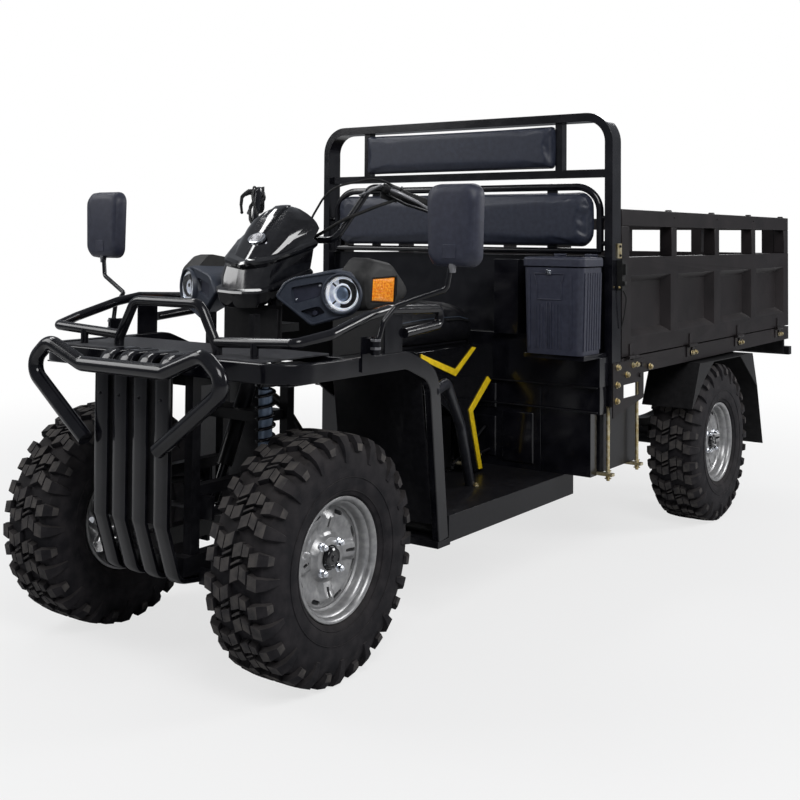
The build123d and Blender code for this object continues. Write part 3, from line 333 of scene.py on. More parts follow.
def cut(bm, tools):
    """Mesh under construction less another one, through a boolean."""
    whole, tool = add_object("whole", mesh_from(bm, "whole")), add_object("tool", mesh_from(tools, "tool"))
    minus = whole.modifiers.new("minus", "BOOLEAN")
    minus.object = tool
    minus.operation = "DIFFERENCE"
    minus.solver = "EXACT"
    minus.use_self = True
    result = mesh_of(whole)
    bpy.data.objects.remove(whole)
    bpy.data.objects.remove(tool)
    return result


def round_edges(obj, width, segments=2, angle=32):
    """Rounds the edges that turn by more than an angle; the width in millimetres."""
    edge = obj.modifiers.new("edge", "BEVEL")
    edge.width = width * MM
    edge.segments = segments
    edge.limit_method = "ANGLE"
    edge.angle_limit = radians(angle)


def piece(bm, name, finish, body, replaces=(), bevel=0.0, sharp=38):
    """Object from a mesh under construction: finish, body it rides on, and the CAD nodes it stands for."""
    mesh = mesh_from(bm, name)
    mesh.materials.append(FINISH[finish])
    mesh.shade_smooth()
    mesh.set_sharp_from_angle(angle=radians(sharp))
    obj = add_object(name, mesh)
    if bevel:
        round_edges(obj, bevel)
    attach(obj, body)
    if replaces:
        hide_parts(*replaces)
    return obj


# Tyres: carcass of revolution with blocks of off-road tread

WHEELS = ("front_left", "front_right", "rear_left", "rear_right")
PITCHES = 16
WHEEL_SIDES = 128

CARCASS = (
    # across, radius
    (78.9, 152), (79.6, 163), (90, 168), (99, 185), (102.5, 205), (103, 240), (99, 268), (92, 288), (84, 301),
    (62, 307), (30, 309.5))
SIDEWALL_RINGS = ((84, 166.5), (96.5, 179), (103.3, 214))
BLOCKS = (
    # (across, radius, depth inwards, from, to along the tread) for each section of a block
    ((3, 325, 18, -30, 2), (22, 325, 18, -20, 13), (29, 325, 18, -17, 17)),
    ((32, 325, 18, -15, 18), (54, 324.5, 18, -25, 6)),
    ((3, 325, 18, 12, 18), (22, 325, 15, 23, 29), (30, 324.6, 15, 26, 32)),
    ((4, 325, 18, 31, 63), (26, 325, 18, 39, 72), (31, 324.8, 18, 40, 70)),
    ((34, 324.8, 18, 38, 68), (54, 324.4, 18, 40, 62)),
    ((59, 324.3, 19, -34, 0), (86, 321.0, 19, -39, -6), (102.0, 299, 14, -37, -9), (105.0, 274, 8, -34, -13),
     (104.2, 254, 5, -31, -16)),
    ((58, 324.2, 19, 17, 48), (84, 321.2, 19, 22, 54), (101.2, 301, 14, 24, 51), (104.6, 282, 8, 27, 48)))
# Worn faces lie beyond the first radius, or on the shoulders beyond the second one, in metres
WORN_RADIUS, WORN_SHOULDER_RADIUS, SHOULDER_X = 0.3195, 0.288, 0.1


def wheel_point(across, radius, angle):
    """Point about a wheel's own axis, from millimetres to metres."""
    return Vector((across, radius * sin(angle), radius * cos(angle))) * MM


def make_tyre():
    """Mesh of one tyre about the X axis, outer side at +X; its worn faces take the second material."""
    bm = bmesh.new()
    lathe(bm, list(CARCASS) + [(-x, r) for x, r in reversed(CARCASS)], Vector((0, 0, 0)), sides=WHEEL_SIDES)
    for across, radius in SIDEWALL_RINGS:
        for side in (1, -1):
            ring = [wheel_point(side * across, radius, tau * k / WHEEL_SIDES) for k in range(WHEEL_SIDES)]
            tube(bm, ring, 1.4, 6, closed=True)
    for step in range(PITCHES):
        for side in (1, -1):
            phase = tau * (step + side / 4) / PITCHES
            for block in BLOCKS:
                rings = []
                for across, radius, depth, start, end in block:
                    lean = max(0.0, (across - 60) / 45)
                    foot, foot_radius = across - depth * lean, radius - depth * (1 - 0.6 * lean)
                    rings.append([wheel_point(side * x, r, phase + side * along / TYRE_R) for x, r, along in (
                        (across, radius, start), (across, radius, end),
                        (foot, foot_radius, end + 2.5), (foot, foot_radius, start - 2.5))])
                skin(bm, rings)
    for face in bm.faces:
        middle = face.calc_center_median()
        reach = hypot(middle.y, middle.z)
        shoulder = reach > WORN_SHOULDER_RADIUS and abs(middle.x) > SHOULDER_X
        face.material_index = int(shoulder or reach > WORN_RADIUS)
    return mesh_from(bm, "tyre")


# Rims: stepped barrel, pressed disc with four ribs and vents, nuts and cap

BARREL = (
    # across, radius
    (-87, 156), (-87, 162.5), (-81, 162.5), (-79, 152), (79, 152), (81, 162.5), (85.5, 162.8), (87, 161),
    (86.6, 156.5), (83, 151.5), (77, 148.5), (70, 148), (68, 144), (62, 139.5), (52, 138), (44, 136.5),
    (40, 132), (36, 132), (40, 140), (56, 143.5), (64, 147.5), (-79, 147.5))
DISC = (
    # radius, across at the rib's foot
    (133, 37), (126, 41), (116, 44), (104, 43), (92, 37), (78, 33), (66, 36), (58, 45), (52, 54), (45, 56),
    (33, 55), (31, 50))
DISC_WALL = 5
RIB_RISE = 13
NUT_CIRCLE = 48.0
NUT_SEAT = 48
NUT_STEPS = ((0, 8, 11.5, 20), (8, 20, 8.6, 6), (18, 24, 5.5, 16))
HUB_CAP = ((44, 30), (58, 30), (66, 27), (69, 21), (66, 18), (66, 9), (70, 7), (70, 0), (44, 0))


def rib_rise(radius, angle):
    """Height of the disc's four ribs over its face."""
    if not 62 < radius < 118:
        return 0.0
    near = abs((angle / (tau / 4) + 0.5) % 1 - 0.5) * (tau / 4)
    flank = max(0.0, min(1.0, (26 - radius * sin(near)) / 9))
    return RIB_RISE * flank * min(1.0, (radius - 60) / 14) * min(1.0, (120 - radius) / 18)


def make_rim():
    """Mesh of one rim about the X axis, outer side at +X."""
    bm = bmesh.new()
    lathe(bm, BARREL, Vector((0, 0, 0)), sides=WHEEL_SIDES)
    rows = []
    for k in range(WHEEL_SIDES):
        angle = tau * k / WHEEL_SIDES
        front = [(across + rib_rise(radius, angle), radius) for radius, across in DISC]
        rows.append([wheel_point(across, radius, angle) for across, radius in front]
                    + [wheel_point(across - DISC_WALL, radius, angle) for across, radius in reversed(front)])
    skin(bm, rows, closed=True, caps=False)
    holes = bmesh.new()
    for k in range(8):
        slot_shape(holes, 117, tau * (k + 0.5) / 8, 34, 12, across=True)
    for k in range(4):
        slot_shape(holes, 92, tau * k / 4, 30, 9, across=False)
    return cut(bm, holes)


def slot_shape(bm, radius, angle, length, width, across):
    """Rounded slot through the disc at an angle about the axle."""
    outline = []
    for k in range(16):
        turn = tau * k / 16
        u = width / 2 * cos(turn)
        v = width / 2 * sin(turn) + (length - width) / 2 * (1 if sin(turn) >= 0 else -1)
        if across:
            u, v = v, u
        outline.append(Vector((20, radius * sin(angle), radius * cos(angle)))
                       + Vector((0, cos(angle), -sin(angle))) * u + Vector((0, sin(angle), cos(angle))) * v)
    prism(bm, [p * MM for p in outline], Vector((60, 0, 0)) * MM)


def place_wheels():
    """Tyres, rims, nuts and caps at the four wheels."""
    tyre, rim = make_tyre(), make_rim()
    for place in WHEELS:
        centre = Vector(JOINTS[f"spin_{place}"]["pos_m"])
        turn = Matrix.Rotation(0 if centre.x > 0 else pi, 4, "Z")
        for master, kind, finish, bevel in ((tyre, "tyre", "tyre", 1.6), (rim, "rim", "rim_silver", 0.8)):
            bm = bmesh_from(master)
            bmesh.ops.transform(bm, matrix=Matrix.Translation(centre) @ turn, verts=bm.verts)
            made = piece(bm, f"{kind}_{place}_visual", finish, f"wheel_{place}", (f"{kind}_{place}",), bevel)
            if kind == "tyre":
                made.data.materials.append(FINISH["tread_tops"])
        bm = bmesh.new()
        for k in range(4):
            for low, high, radius, sides in NUT_STEPS:
                start, end = (turn @ wheel_point(NUT_SEAT + along, NUT_CIRCLE, tau * (k + 0.5) / 4) + centre
                              for along in (low, high))
                cylinder(bm, start, end, radius, sides)
        piece(bm, f"wheel_nuts_{place}", "chrome", f"wheel_{place}", bevel=0.6)
        bm = bmesh.new()
        lathe(bm, HUB_CAP, centre, turn @ Vector((1, 0, 0)), 40)
        weld(bm, 1e-5)
        piece(bm, f"hub_cap_{place}", "gloss_plastic", f"wheel_{place}", bevel=0.5)


# Cowl: rows from the chin to the tip, each from the nose's middle over the crease to the back edge

COWL_ROWS = (
    # (x, y, z) of the middle, the strip's edge, the shoulder, the crease and the back edge
    ((0, 131, 954), (20, 131, 954), (66, 133, 956), (84, 144, 964), (120, 284, 1016)),
    ((0, 126, 966), (20, 126, 966), (76, 128, 968), (95, 141, 975), (132, 285, 1032)),
    ((0, 120, 989), (20, 120, 989), (84, 124, 991), (103, 139, 998), (147, 286, 1050)),
    ((0, 116, 996), (20, 116, 996), (86, 121, 999), (107, 138, 1006), (153, 287, 1058)),
    ((0, 118, 1003), (20, 118, 1003), (86, 123, 1006), (106, 139, 1013), (152, 287, 1064)),
    ((0, 133, 1010), (20, 133, 1010), (80, 137, 1013), (97, 149, 1020), (142, 287, 1072)),
    ((0, 139, 1040), (20, 140, 1041), (81, 144, 1046), (98, 156, 1054), (148, 288, 1104)),
    ((0, 144, 1066), (20, 146, 1068), (82, 156, 1076), (99, 170, 1086), (152, 289, 1130)),
    ((0, 131, 1073), (20, 134, 1077), (86, 154, 1088), (107, 176, 1097), (166, 290, 1140)),
    ((0, 128, 1081), (20, 132, 1085), (88, 155, 1096), (109, 179, 1105), (169, 290, 1148)),
    ((0, 136, 1090), (20, 140, 1094), (84, 165, 1104), (104, 188, 1113), (163, 290, 1155)),
    ((0, 154, 1097), (12, 157, 1099), (72, 183, 1110), (91, 205, 1119), (150, 291, 1162)),
    ((0, 178, 1126), (12, 179, 1127), (79, 196, 1129), (97, 232, 1143), (147, 312, 1179)),
    ((0, 209, 1160), (10, 210, 1160), (85, 222, 1157), (107, 260, 1168), (141, 329, 1193)),
    ((0, 241, 1193), (12, 242, 1193), (85, 246, 1188), (115, 288, 1194), (131, 328, 1210)),
    ((0, 270, 1224), (17, 271, 1224), (76, 270, 1220), (113, 310, 1217), (120, 326, 1222)),
    ((0, 294, 1248), (22, 295, 1247), (56, 291, 1242), (84, 319, 1236), (90, 329, 1239)),
    ((0, 316, 1259), (24, 316, 1258), (38, 314, 1255), (54, 328, 1251), (58, 335, 1252)),
    ((0, 336, 1262), (20, 336, 1261), (26, 337, 1260), (30, 340, 1258), (32, 343, 1258)))
STRIP_FROM, STRIP_RISE = 12, 6.0
ROUND_FROM, ROUND_TURN, SHARP_TURN = 11, 0.34, 0.1
COWL_WALL = 5.0
COWL_SLOPE = Vector((0, -0.72, 0.69))
COWL_OVALS = (("cowl_oval_ring", "chrome", 1.0, -3, 5), ("cowl_oval", "bare_steel", 0.84, 0, 6))


def cowl_row(row, level, inset):
    """Half row from the centre line to the back edge, then its mirror image, moved inwards by an inset."""
    middle, strip, shoulder, crease, back = (Vector(p) for p in row)
    rise = COWL_SLOPE * (STRIP_RISE if level > STRIP_FROM else 0.0)
    half = [middle + rise, strip + rise, strip.lerp(shoulder, 0.05), strip.lerp(shoulder, 0.5)]
    turn = ROUND_TURN if level > ROUND_FROM else SHARP_TURN
    for step in range(5):
        t = step / 4
        before, after = shoulder.lerp(strip, turn), shoulder.lerp(crease, min(0.7, turn * 3))
        half.append(before * (1 - t) ** 2 + shoulder * 2 * t * (1 - t) + after * t ** 2)
    half += [crease, crease.lerp(back, 0.06), crease.lerp(back, 0.5), back]
    placed = []
    for point in half:
        inwards = Vector((-inset if point.x > 30 else 0, inset if point.y < 280 else 0,
                          -inset if level > 10 else 0))
        placed.append(at(*(point + inwards)))
    return [Vector((-p.x, p.y, p.z)) for p in placed[:0:-1]] + placed


def band(bm, low, high):
    """Faces between two open rows of vertices."""
    for k in range(len(low) - 1):
        bm.faces.new((low[k], low[k + 1], high[k + 1], high[k]))


def make_cowl():
    """Ridged gloss cowl with an open back, and its bare oval plate."""
    bm = bmesh.new()
    outer, lining = ([[bm.verts.new(p) for p in cowl_row(row, level, inset)]
                      for level, row in enumerate(COWL_ROWS)] for inset in (0.0, COWL_WALL))
    for low, high in zip(outer, outer[1:]):
        band(bm, low, high)
    for low, high in zip(lining, lining[1:]):
        band(bm, high, low)
    for k in (0, -1):
        band(bm, outer[k], lining[k])
    for k in (0, -1):
        band(bm, [row[k] for row in outer], [row[k] for row in lining])
    cowl = piece(bm, "front_cowl_visual", "gloss_plastic", "body", ("front_cowl",), sharp=24)
    round_edges(cowl, 1.6, segments=3, angle=14)
    centre, slope = at(0, 204, 1160), COWL_SLOPE.normalized()
    across, up = Vector((1, 0, 0)), Vector((0, slope.z, -slope.y))
    for name, finish, reach, low, high in COWL_OVALS:
        bm = bmesh.new()
        skin(bm, [ring_about(centre + slope * height * MM, across * 33, up * 22, reach * shrink, 40)
                  for shrink, height in ((1.0, low), (1.0, high - 1), (0.94, high))])
        piece(bm, name, finish, "body")


# Head pods: shell with a framed face, a projector lamp and a turn signal

POD_TURN = radians(22)
POD_AT = (262, 205, 1003)
POD_OUTLINE = ((-152, -12), (-126, 30), (-100, 45), (30, 70), (82, 63), (111, 37), (120, 0), (109, -38),
               (78, -64), (-40, -97))
LAMP_U, LAMP_V = 55, 0


def pod_point(u, v, w, side):
    """Point of a pod's face plane: across, up and out of the face."""
    x = POD_AT[0] + u * cos(POD_TURN) + w * sin(POD_TURN)
    y = POD_AT[1] + u * sin(POD_TURN) - w * cos(POD_TURN)
    return at(side * x, y, POD_AT[2] + v)


def pod_outward(side):
    """Direction out of a pod's face."""
    return (pod_point(0, 0, 1, side) - pod_point(0, 0, 0, side)).normalized()


def face_ring(outline, side, w, shrink=0.0, middle=(10, -8), scale=1.0, shift=(0, 0)):
    """Ring of points of an outline with rounded corners, moved towards its middle by a length."""
    ring = []
    count = len(outline)
    for k in range(count):
        before, corner, after = (Vector((*outline[(k + j) % count], 0)) for j in (-1, 0, 1))
        for t in (0.0, 0.5, 1.0):
            start = corner.lerp(before, min(0.35, 9 / (corner - before).length))
            end = corner.lerp(after, min(0.35, 9 / (corner - after).length))
            point = start * (1 - t) ** 2 + corner * 2 * t * (1 - t) + end * t ** 2
            toward = Vector((*middle, 0)) - point
            point = point + toward.normalized() * min(shrink, toward.length * 0.9)
            ring.append(pod_point(point.x * scale + shift[0], point.y * scale + shift[1], w, side))
    return ring


WINDOWS = (
    # corners, depth below the face
    (((-99, -37), (-106, 17), (0, 36), (-9, -12)), 15),
    (((-78, -53), (-14, -34), (8, -56), (-42, -77)), 26))
POD_STEPS = (
    # out of the face, inset, scale, shift of the middle
    (-250, 0, 0.42, (-5, 42)), (-190, 0, 0.56, (4, 30)), (-120, 0, 0.7, (10, 17)), (-60, 0, 0.88, (8, 6)),
    (-16, 0, 1.0, (0, 0)), (-3, 2, 1.0, (0, 0)), (0, 6, 1.0, (0, 0)), (0, 10, 1.0, (0, 0)),
    (-4, 12, 1.0, (0, 0)))


def window_block(bm, window, side, ends):
    """Block with a window's outline, between two ends of (out of the face, inset)."""
    middle = (sum(p[0] for p in window) / 4, sum(p[1] for p in window) / 4)
    skin(bm, [face_ring(window, side, w, inset, middle) for w, inset in ends])


def make_pods():
    """Head pods on both sides: shell with two deep windows and the lamp's well cut into its face."""
    for side, word in SIDES:
        bm, holes = bmesh.new(), bmesh.new()
        skin(bm, [face_ring(POD_OUTLINE, side, w, inset, scale=scale, shift=shift)
                  for w, inset, scale, shift in POD_STEPS])
        for window, depth in WINDOWS:
            window_block(holes, window, side, ((-depth, 6), (12, 0)))
        cylinder(holes, pod_point(LAMP_U, LAMP_V, -60, side), pod_point(LAMP_U, LAMP_V, 20, side), 55, 64)
        piece(bmesh_from(cut(bm, holes)), f"head_pod_{word}", "pod_plastic", "body", ("head_pods",), bevel=1.6,
              sharp=30)
        bm = bmesh.new()
        for window, depth in WINDOWS:
            window_block(bm, window, side, ((-depth - 1.5, 7), (0.5 - depth, 8)))
        cylinder(bm, pod_point(-30, -58, -26, side), pod_point(-30, -58, -12, side), 9, 24, 7)
        piece(bm, f"pod_floors_{word}", "box_plastic", "body", bevel=0.6)
        bm = bmesh.new()
        bolt(bm, pod_point(-16, 22, -14, side), pod_outward(side), 4)
        bolt(bm, pod_point(-88, -20, -14, side), pod_outward(side), 3)
        piece(bm, f"pod_bolts_{word}", "chrome", "body", bevel=0.3)
        make_lamp(side, word)
        make_fairing(side, word)


FAIRING = ((236, 1060), (296, 1109), (396, 1094), (500, 992), (384, 954), (248, 950))
FAIRING_STEPS = ((292, 0), (340, 1), (362, 6), (374, 14), (381, 26), (384, 42))
SIGNAL_OUTLINE = ((272, 979), (278, 1050), (402, 1053), (395, 970))
LAMP_PARTS = (
    # name, finish, sides, profile of (out of the face, radius)
    ("bezel", "pod_plastic", 72, ((-58, 61), (3, 61), (8, 59), (9, 56), (6, 53.5), (-58, 52.5))),
    ("bowl", "chrome", 20, ((-56, 10), (-44, 27), (-24, 38), (-5, 46), (-3, 52.4), (-30, 52.4), (-58, 12))),
    ("light_ring", "lamp_white", 72, ((-12, 41), (-4, 43), (-2, 46), (-4, 49.5), (-12, 51))),
    ("projector_ring", "lamp_white", 48, ((-44, 22), (-10, 22.5), (-7, 25), (-10, 28.5), (-24, 30), (-44, 30))),
    ("lens", "lamp_lens", 72, ((-1, 0), (-1, 53), (2, 53), (6, 42), (9, 20), (10, 0))),
    ("projector", "damper_blue", 48, ((-44, 0), (-44, 21.5), (-20, 21.5), (-13, 17), (-9, 9), (-8, 0))))


def make_lamp(side, word):
    """Projector lamp of one pod: bezel, bowl, bright ring, clear lens, projector and its spokes."""
    centre, out = pod_point(LAMP_U, LAMP_V, 0, side), pod_outward(side)
    for name, finish, sides, profile in LAMP_PARTS:
        bm = bmesh.new()
        lathe(bm, profile, centre, out, sides)
        weld(bm)
        piece(bm, f"lamp_{name}_{word}", finish, "body", ("headlamps",) if name == "lens" else ())
    bm = bmesh.new()
    up = Vector((0, 0, 1))
    for k in range(4):
        angle = tau * (k + 0.5) / 4
        arm = out.cross(up) * cos(angle) + up * sin(angle)
        cylinder(bm, centre + arm * 29 * MM - out * 12 * MM, centre + arm * 42 * MM - out * 9 * MM, 2.5, 8)
    piece(bm, f"lamp_spokes_{word}", "black_plastic", "body")


def make_fairing(side, word):
    """Dark fairing beside a pod, hollowed for the turn signal, with the signal's bulb."""
    bm, hollow = bmesh.new(), bmesh.new()
    corners = [Vector((0, y, z)) for y, z in FAIRING]
    middle = sum(corners, Vector()) / len(corners)
    rings = []
    for x, inset in FAIRING_STEPS:
        moved = [p + (middle - p).normalized() * inset for p in corners]
        seam = moved[0].lerp(moved[-1], 0.5)
        rings.append([at(side * x, p.y, p.z) for p in rounded([seam] + moved + [seam], 40, 5)[:-1]])
    skin(bm, rings)
    skin(hollow, [[at(side * x, y, z) for y, z in SIGNAL_OUTLINE] for x in (355, 400)])
    piece(bmesh_from(cut(bm, hollow)), f"pod_fairing_{word}", "fairing_plastic", "body", bevel=2.0, sharp=24)
    bm = bmesh.new()
    cylinder(bm, at(side * 374, 342, 1012), at(side * 380.5, 342, 1012), 11, 24, 8)
    piece(bm, f"signal_optics_{word}", "chrome", "body")


# Mirrors: moulded backs with a pressed plate, glass on the rider's side

MIRROR_AT = (705, 1201)
MIRROR_HALF_W, MIRROR_HALF_H = 85, 111
MIRROR_NARROWING = (0.985, 0.94)
MIRROR_BACK = (
    # y, inset, corner radius
    (228, 4, 32), (232, 0, 34), (226, -1, 36), (206, 2, 36), (194, 9, 38), (190, 17, 38), (188.5, 26, 36))


def rounded_rectangle(half_w, half_h, corner, steps=8):
    """Points (u, v) round a rectangle with round corners."""
    points = []
    for quarter, (sx, sy) in enumerate(((1, 1), (-1, 1), (-1, -1), (1, -1))):
        for step in range(steps + 1):
            angle = tau / 4 * (quarter + step / steps)
            points.append((sx * (half_w - corner) + corner * cos(angle),
                           sy * (half_h - corner) + corner * sin(angle)))
    return points


def mirror_ring(side, y, inset, corner, narrowing=(1.0, 1.0)):
    """Outline of a mirror, drawn in by an inset and narrowed above and below its middle."""
    above, below = narrowing
    return [at(side * (MIRROR_AT[0] + u * (above if v > 0 else below)), y, MIRROR_AT[1] + v)
            for u, v in rounded_rectangle(MIRROR_HALF_W - inset, MIRROR_HALF_H - inset, corner)]


def make_mirrors():
    """Both mirror heads with their glass and nuts."""
    middle = MIRROR_AT[0]
    for side, word in SIDES:
        bm = bmesh.new()
        skin(bm, [mirror_ring(side, *level, MIRROR_NARROWING) for level in MIRROR_BACK])
        slab(bm, side * (middle - 20), side * (middle + 20), 187, 190, 1112, 1150)
        piece(bm, f"mirror_{word}", "box_plastic", "body", ("mirrors",), bevel=1.0, sharp=50)
        bm = bmesh.new()
        skin(bm, [mirror_ring(side, y, 7, 28) for y in (230, 232.6)])
        piece(bm, f"mirror_glass_{word}", "mirror_glass", "body")
        bm = bmesh.new()
        cylinder(bm, at(side * middle, 205, 1086), at(side * middle, 205, 1110), 11, 6)
        cylinder(bm, at(side * middle, 205, 1074), at(side * middle, 205, 1086), 9, 24, 10)
        for z in (866, 888):
            cylinder(bm, at(side * 530, 100, z), at(side * 530, 100, z + 7), 15.5, 6)
        piece(bm, f"mirror_nuts_{word}", "bare_steel", "body", bevel=0.6)


# Steel work: the CAD's own meshes with their edges rounded as rolled and folded steel has them

SOFTENED = (
    # nodes, edge radius
    (("side_gate_left", "side_gate_right", "gate_posts_left", "gate_posts_right", "gate_rail_left",
      "gate_rail_right", "tailgate", "headboard", "rack_band", "bed_frame"), 2.5),
    (("chassis", "footboards", "bulkhead", "tail_bar", "hung_boxes", "bed_floor", "engine", "rear_axle"), 2.0),
    (("front_fenders", "rear_mudguards", "side_trims", "rack_plate", "leaf_springs"), 0.8),
    (("side_panels", "body_cover", "box_lid", "storage_box"), 1.2))


def soften(node, radius):
    """Copy of a node with rounded edges, in its own finish."""
    bm = bmesh_from(frame["nodes"][node].data)
    weld(bm, 2e-5)
    bmesh.ops.dissolve_limit(bm, angle_limit=radians(0.6), verts=bm.verts, edges=bm.edges)
    body = next(name for name, nodes in frame["record"]["behaviour"]["bodies"].items() if node in nodes)
    piece(bm, f"{node}_edged", SLOTS[node], body, (node,), bevel=radius, sharp=32)


# Pads and saddle: stuffed covers, swollen a little by a cloth simulation

PAD_VOXEL = 7.0
CLOTH_FRAMES = 20
STITCH_LENGTH, STITCH_STEP, STITCH_RADIUS = 0.005, 0.008, 1.1


def swell(obj, cap, held):
    """Inflates a closed mesh; held tells which points stay, cap is the farthest that a point moves."""
    start = obj.modifiers.new("even", "REMESH")
    start.mode = "VOXEL"
    start.voxel_size = PAD_VOXEL * MM
    even = mesh_of(obj)
    obj.modifiers.clear()
    for material in obj.data.materials:
        if not even.materials:
            even.materials.append(material)
    obj.data = even
    pinned = obj.vertex_groups.new(name="held")
    pinned.add([v.index for v in even.vertices if held(v.co)], 1.0, "REPLACE")
    cloth = obj.modifiers.new("cloth", "CLOTH")
    cloth.settings.quality = 5
    cloth.settings.mass = 0.3
    cloth.settings.use_pressure = True
    cloth.settings.uniform_pressure_force = 4.0
    cloth.settings.vertex_group_mass = "held"
    cloth.settings.effector_weights.gravity = 0.0
    cloth.point_cache.frame_start = 1
    cloth.point_cache.frame_end = CLOTH_FRAMES
    scene = bpy.context.scene
    for step in range(1, CLOTH_FRAMES + 1):
        scene.frame_set(step)
        bpy.context.evaluated_depsgraph_get().update()
    blown = mesh_of(obj)
    obj.modifiers.clear()
    for vert, moved in zip(even.vertices, blown.vertices):
        shift = moved.co - vert.co
        if shift.length > cap * MM:
            shift = shift.normalized() * cap * MM
        vert.co = vert.co + shift
    scene.frame_set(1)
    even.shade_smooth()
    finer = obj.modifiers.new("finer", "SUBSURF")
    finer.levels = 1
    finer.render_levels = 1


def pad(name, node, finish, rings, cap, held):
    """Stuffed pad that stands for a CAD node."""
    bm = bmesh.new()
    skin(bm, rings)
    obj = piece(bm, name, finish, "body", (node,), sharp=60)
    swell(obj, cap, held)


def stitch_line(bm, route):
    """Row of short stitches along a route of points in the frame."""
    run = 0.0
    for before, after in zip(route, route[1:]):
        length = (after - before).length
        while run < length:
            start = before.lerp(after, run / length)
            end = before.lerp(after, min(1.0, (run + STITCH_LENGTH) / length))
            if (end - start).length > 0.002:
                tube(bm, [start, start.lerp(end, 0.5), end], [STITCH_RADIUS * k for k in (0.6, 1, 0.6)], 6)
            run += STITCH_STEP
        run -= length


BACK_PAD_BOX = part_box("backrest_pad")
HEAD_PAD_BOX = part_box("headboard_pad")


def pad_rings(box, corner, steps, shrink):
    """Rings of a pad across the vehicle, back to front: (how far along its depth, inset) for each."""
    low, high = Vector(box[0]), Vector(box[1])
    middle = (low + high) / 2
    half_w, half_h = (high.x - low.x) / 2 / MM - shrink, (high.z - low.z) / 2 / MM - shrink
    rings = []
    for along, inset in steps:
        y = high.y + (low.y - high.y) * along
        outline = rounded_rectangle(half_w - inset, half_h - inset, max(4.0, corner - inset * 0.5), 6)
        rings.append([Vector((middle.x + u * MM, y, middle.z + v * MM)) for u, v in outline])
    return rings


SADDLE_ROWS = (
    # y, half width at the foot, half width at the waist, half width at the top, foot z, waist z, top z
    (736, 96, 100, 62, 796, 850, 896), (790, 120, 128, 84, 796, 862, 926), (880, 136, 146, 104, 796, 870, 931),
    (1000, 143, 153, 116, 796, 872, 930), (1110, 143, 154, 118, 796, 870, 924),
    (1180, 138, 149, 108, 796, 858, 912), (1226, 118, 128, 84, 798, 842, 884))
BACK_PAD_STEPS = ((0.0, 3), (0.05, 0), (0.55, 0), (0.78, 3), (0.9, 9), (0.97, 20))
HEAD_PAD_STEPS = ((0.0, 2), (0.05, 0), (0.6, 0), (0.84, 2), (0.95, 6), (0.99, 14))
HELD_DEPTH = 0.006
SADDLE_FOOT = at(0, 0, 802).z


def saddle_line(side, out, rise):
    """Route along the saddle's waist, moved outwards and up."""
    return [at(side * (waist_x + out), y, waist_z + rise)
            for y, _, waist_x, _, _, waist_z, _ in SADDLE_ROWS[1:-1]]


def make_soft():
    """Backrest pad, headboard pad and saddle."""
    rear, plate = BACK_PAD_BOX[1][1], HEAD_PAD_BOX[1][1]
    pad("backrest_cushion", "backrest_pad", "pad_vinyl", pad_rings(BACK_PAD_BOX, 52, BACK_PAD_STEPS, -6), 7,
        lambda co: co.y > rear - HELD_DEPTH)
    pad("headboard_cushion", "headboard_pad", "pad_vinyl", pad_rings(HEAD_PAD_BOX, 15, HEAD_PAD_STEPS, -3), 5,
        lambda co: co.y > plate - HELD_DEPTH)
    rings = []
    for y, foot_x, waist_x, top_x, foot_z, waist_z, top_z in SADDLE_ROWS:
        half = [(foot_x, foot_z), (waist_x, (foot_z + waist_z) / 2), (waist_x, waist_z),
                (waist_x - 8, waist_z + 22), ((waist_x + top_x) / 2, top_z - 12), (top_x, top_z - 3),
                (top_x * 0.5, top_z + 1)]
        outline = half + [(0, top_z + 2)] + [(-x, z) for x, z in reversed(half)]
        rings.append([at(x, y, z) for x, z in outline])
    pad("saddle_cushion", "saddle", "saddle_vinyl", rings, 8, lambda co: co.z < SADDLE_FOOT)
    piping, stitches = bmesh.new(), bmesh.new()
    for side in (1, -1):
        tube(piping, rounded(saddle_line(side, 1, 3), 0.05, 4), 2.4, 8)
        stitch_line(stitches, saddle_line(side, -5, 13))
    piece(piping, "saddle_piping", "rubber", "body")
    piece(stitches, "saddle_stitches", "damper_blue", "body")


# Springs of the front wheels

SPRING_X, SPRING_Y = 236, -10


def make_springs():
    """Coil springs over blue-grey damper bodies, with collars and eyes."""
    coils, bodies, ends = bmesh.new(), bmesh.new(), bmesh.new()
    for side in (1, -1):
        def spot(z):
            return at(side * SPRING_X, SPRING_Y, z)
        coil(coils, spot(512), spot(752), 24.5, 4.6, 8)
        cylinder(bodies, spot(498), spot(748), 19.4, 40)
        cylinder(bodies, spot(748), spot(775), 9, 24)
        for z0, z1, radius in ((500, 508, 29), (488, 500, 24), (756, 764, 29), (764, 776, 22), (776, 794, 14)):
            cylinder(ends, spot(z0), spot(z1), radius, 40)
        cylinder(ends, spot(440), spot(490), 11, 24)
        slab(ends, side * (SPRING_X - 15), side * (SPRING_X + 15), SPRING_Y - 12, SPRING_Y + 12, 436, 458)
    piece(coils, "spring_coils", "spring_black", "body", ("shocks",))
    piece(bodies, "damper_bodies", "damper_blue", "body", bevel=1.0)
    piece(ends, "spring_ends", "spring_black", "body", bevel=1.0)


# Storage box: ribs, pressed panel without a label, and lock

BOX_FRONT = ((1121, 770), (1117, 1066))
BOX_SIDE = ((628, 770), (635, 1066))
FRONT_RIBS = ((431, 790, 1040, 9), (455, 790, 940, 5), (468, 790, 940, 5), (481, 790, 940, 5),
              (506, 790, 940, 3), (524, 790, 940, 5), (537, 790, 940, 5), (550, 790, 940, 5), (590, 790, 1040, 9))
SIDE_RIBS = ((1142, 12), (1162, 5), (1180, 5), (1198, 5), (1216, 5), (1234, 5), (1256, 12))
BOX_PANEL = ((462, 958), (555, 958), (555, 1012), (566, 1046), (451, 1046), (462, 1012))


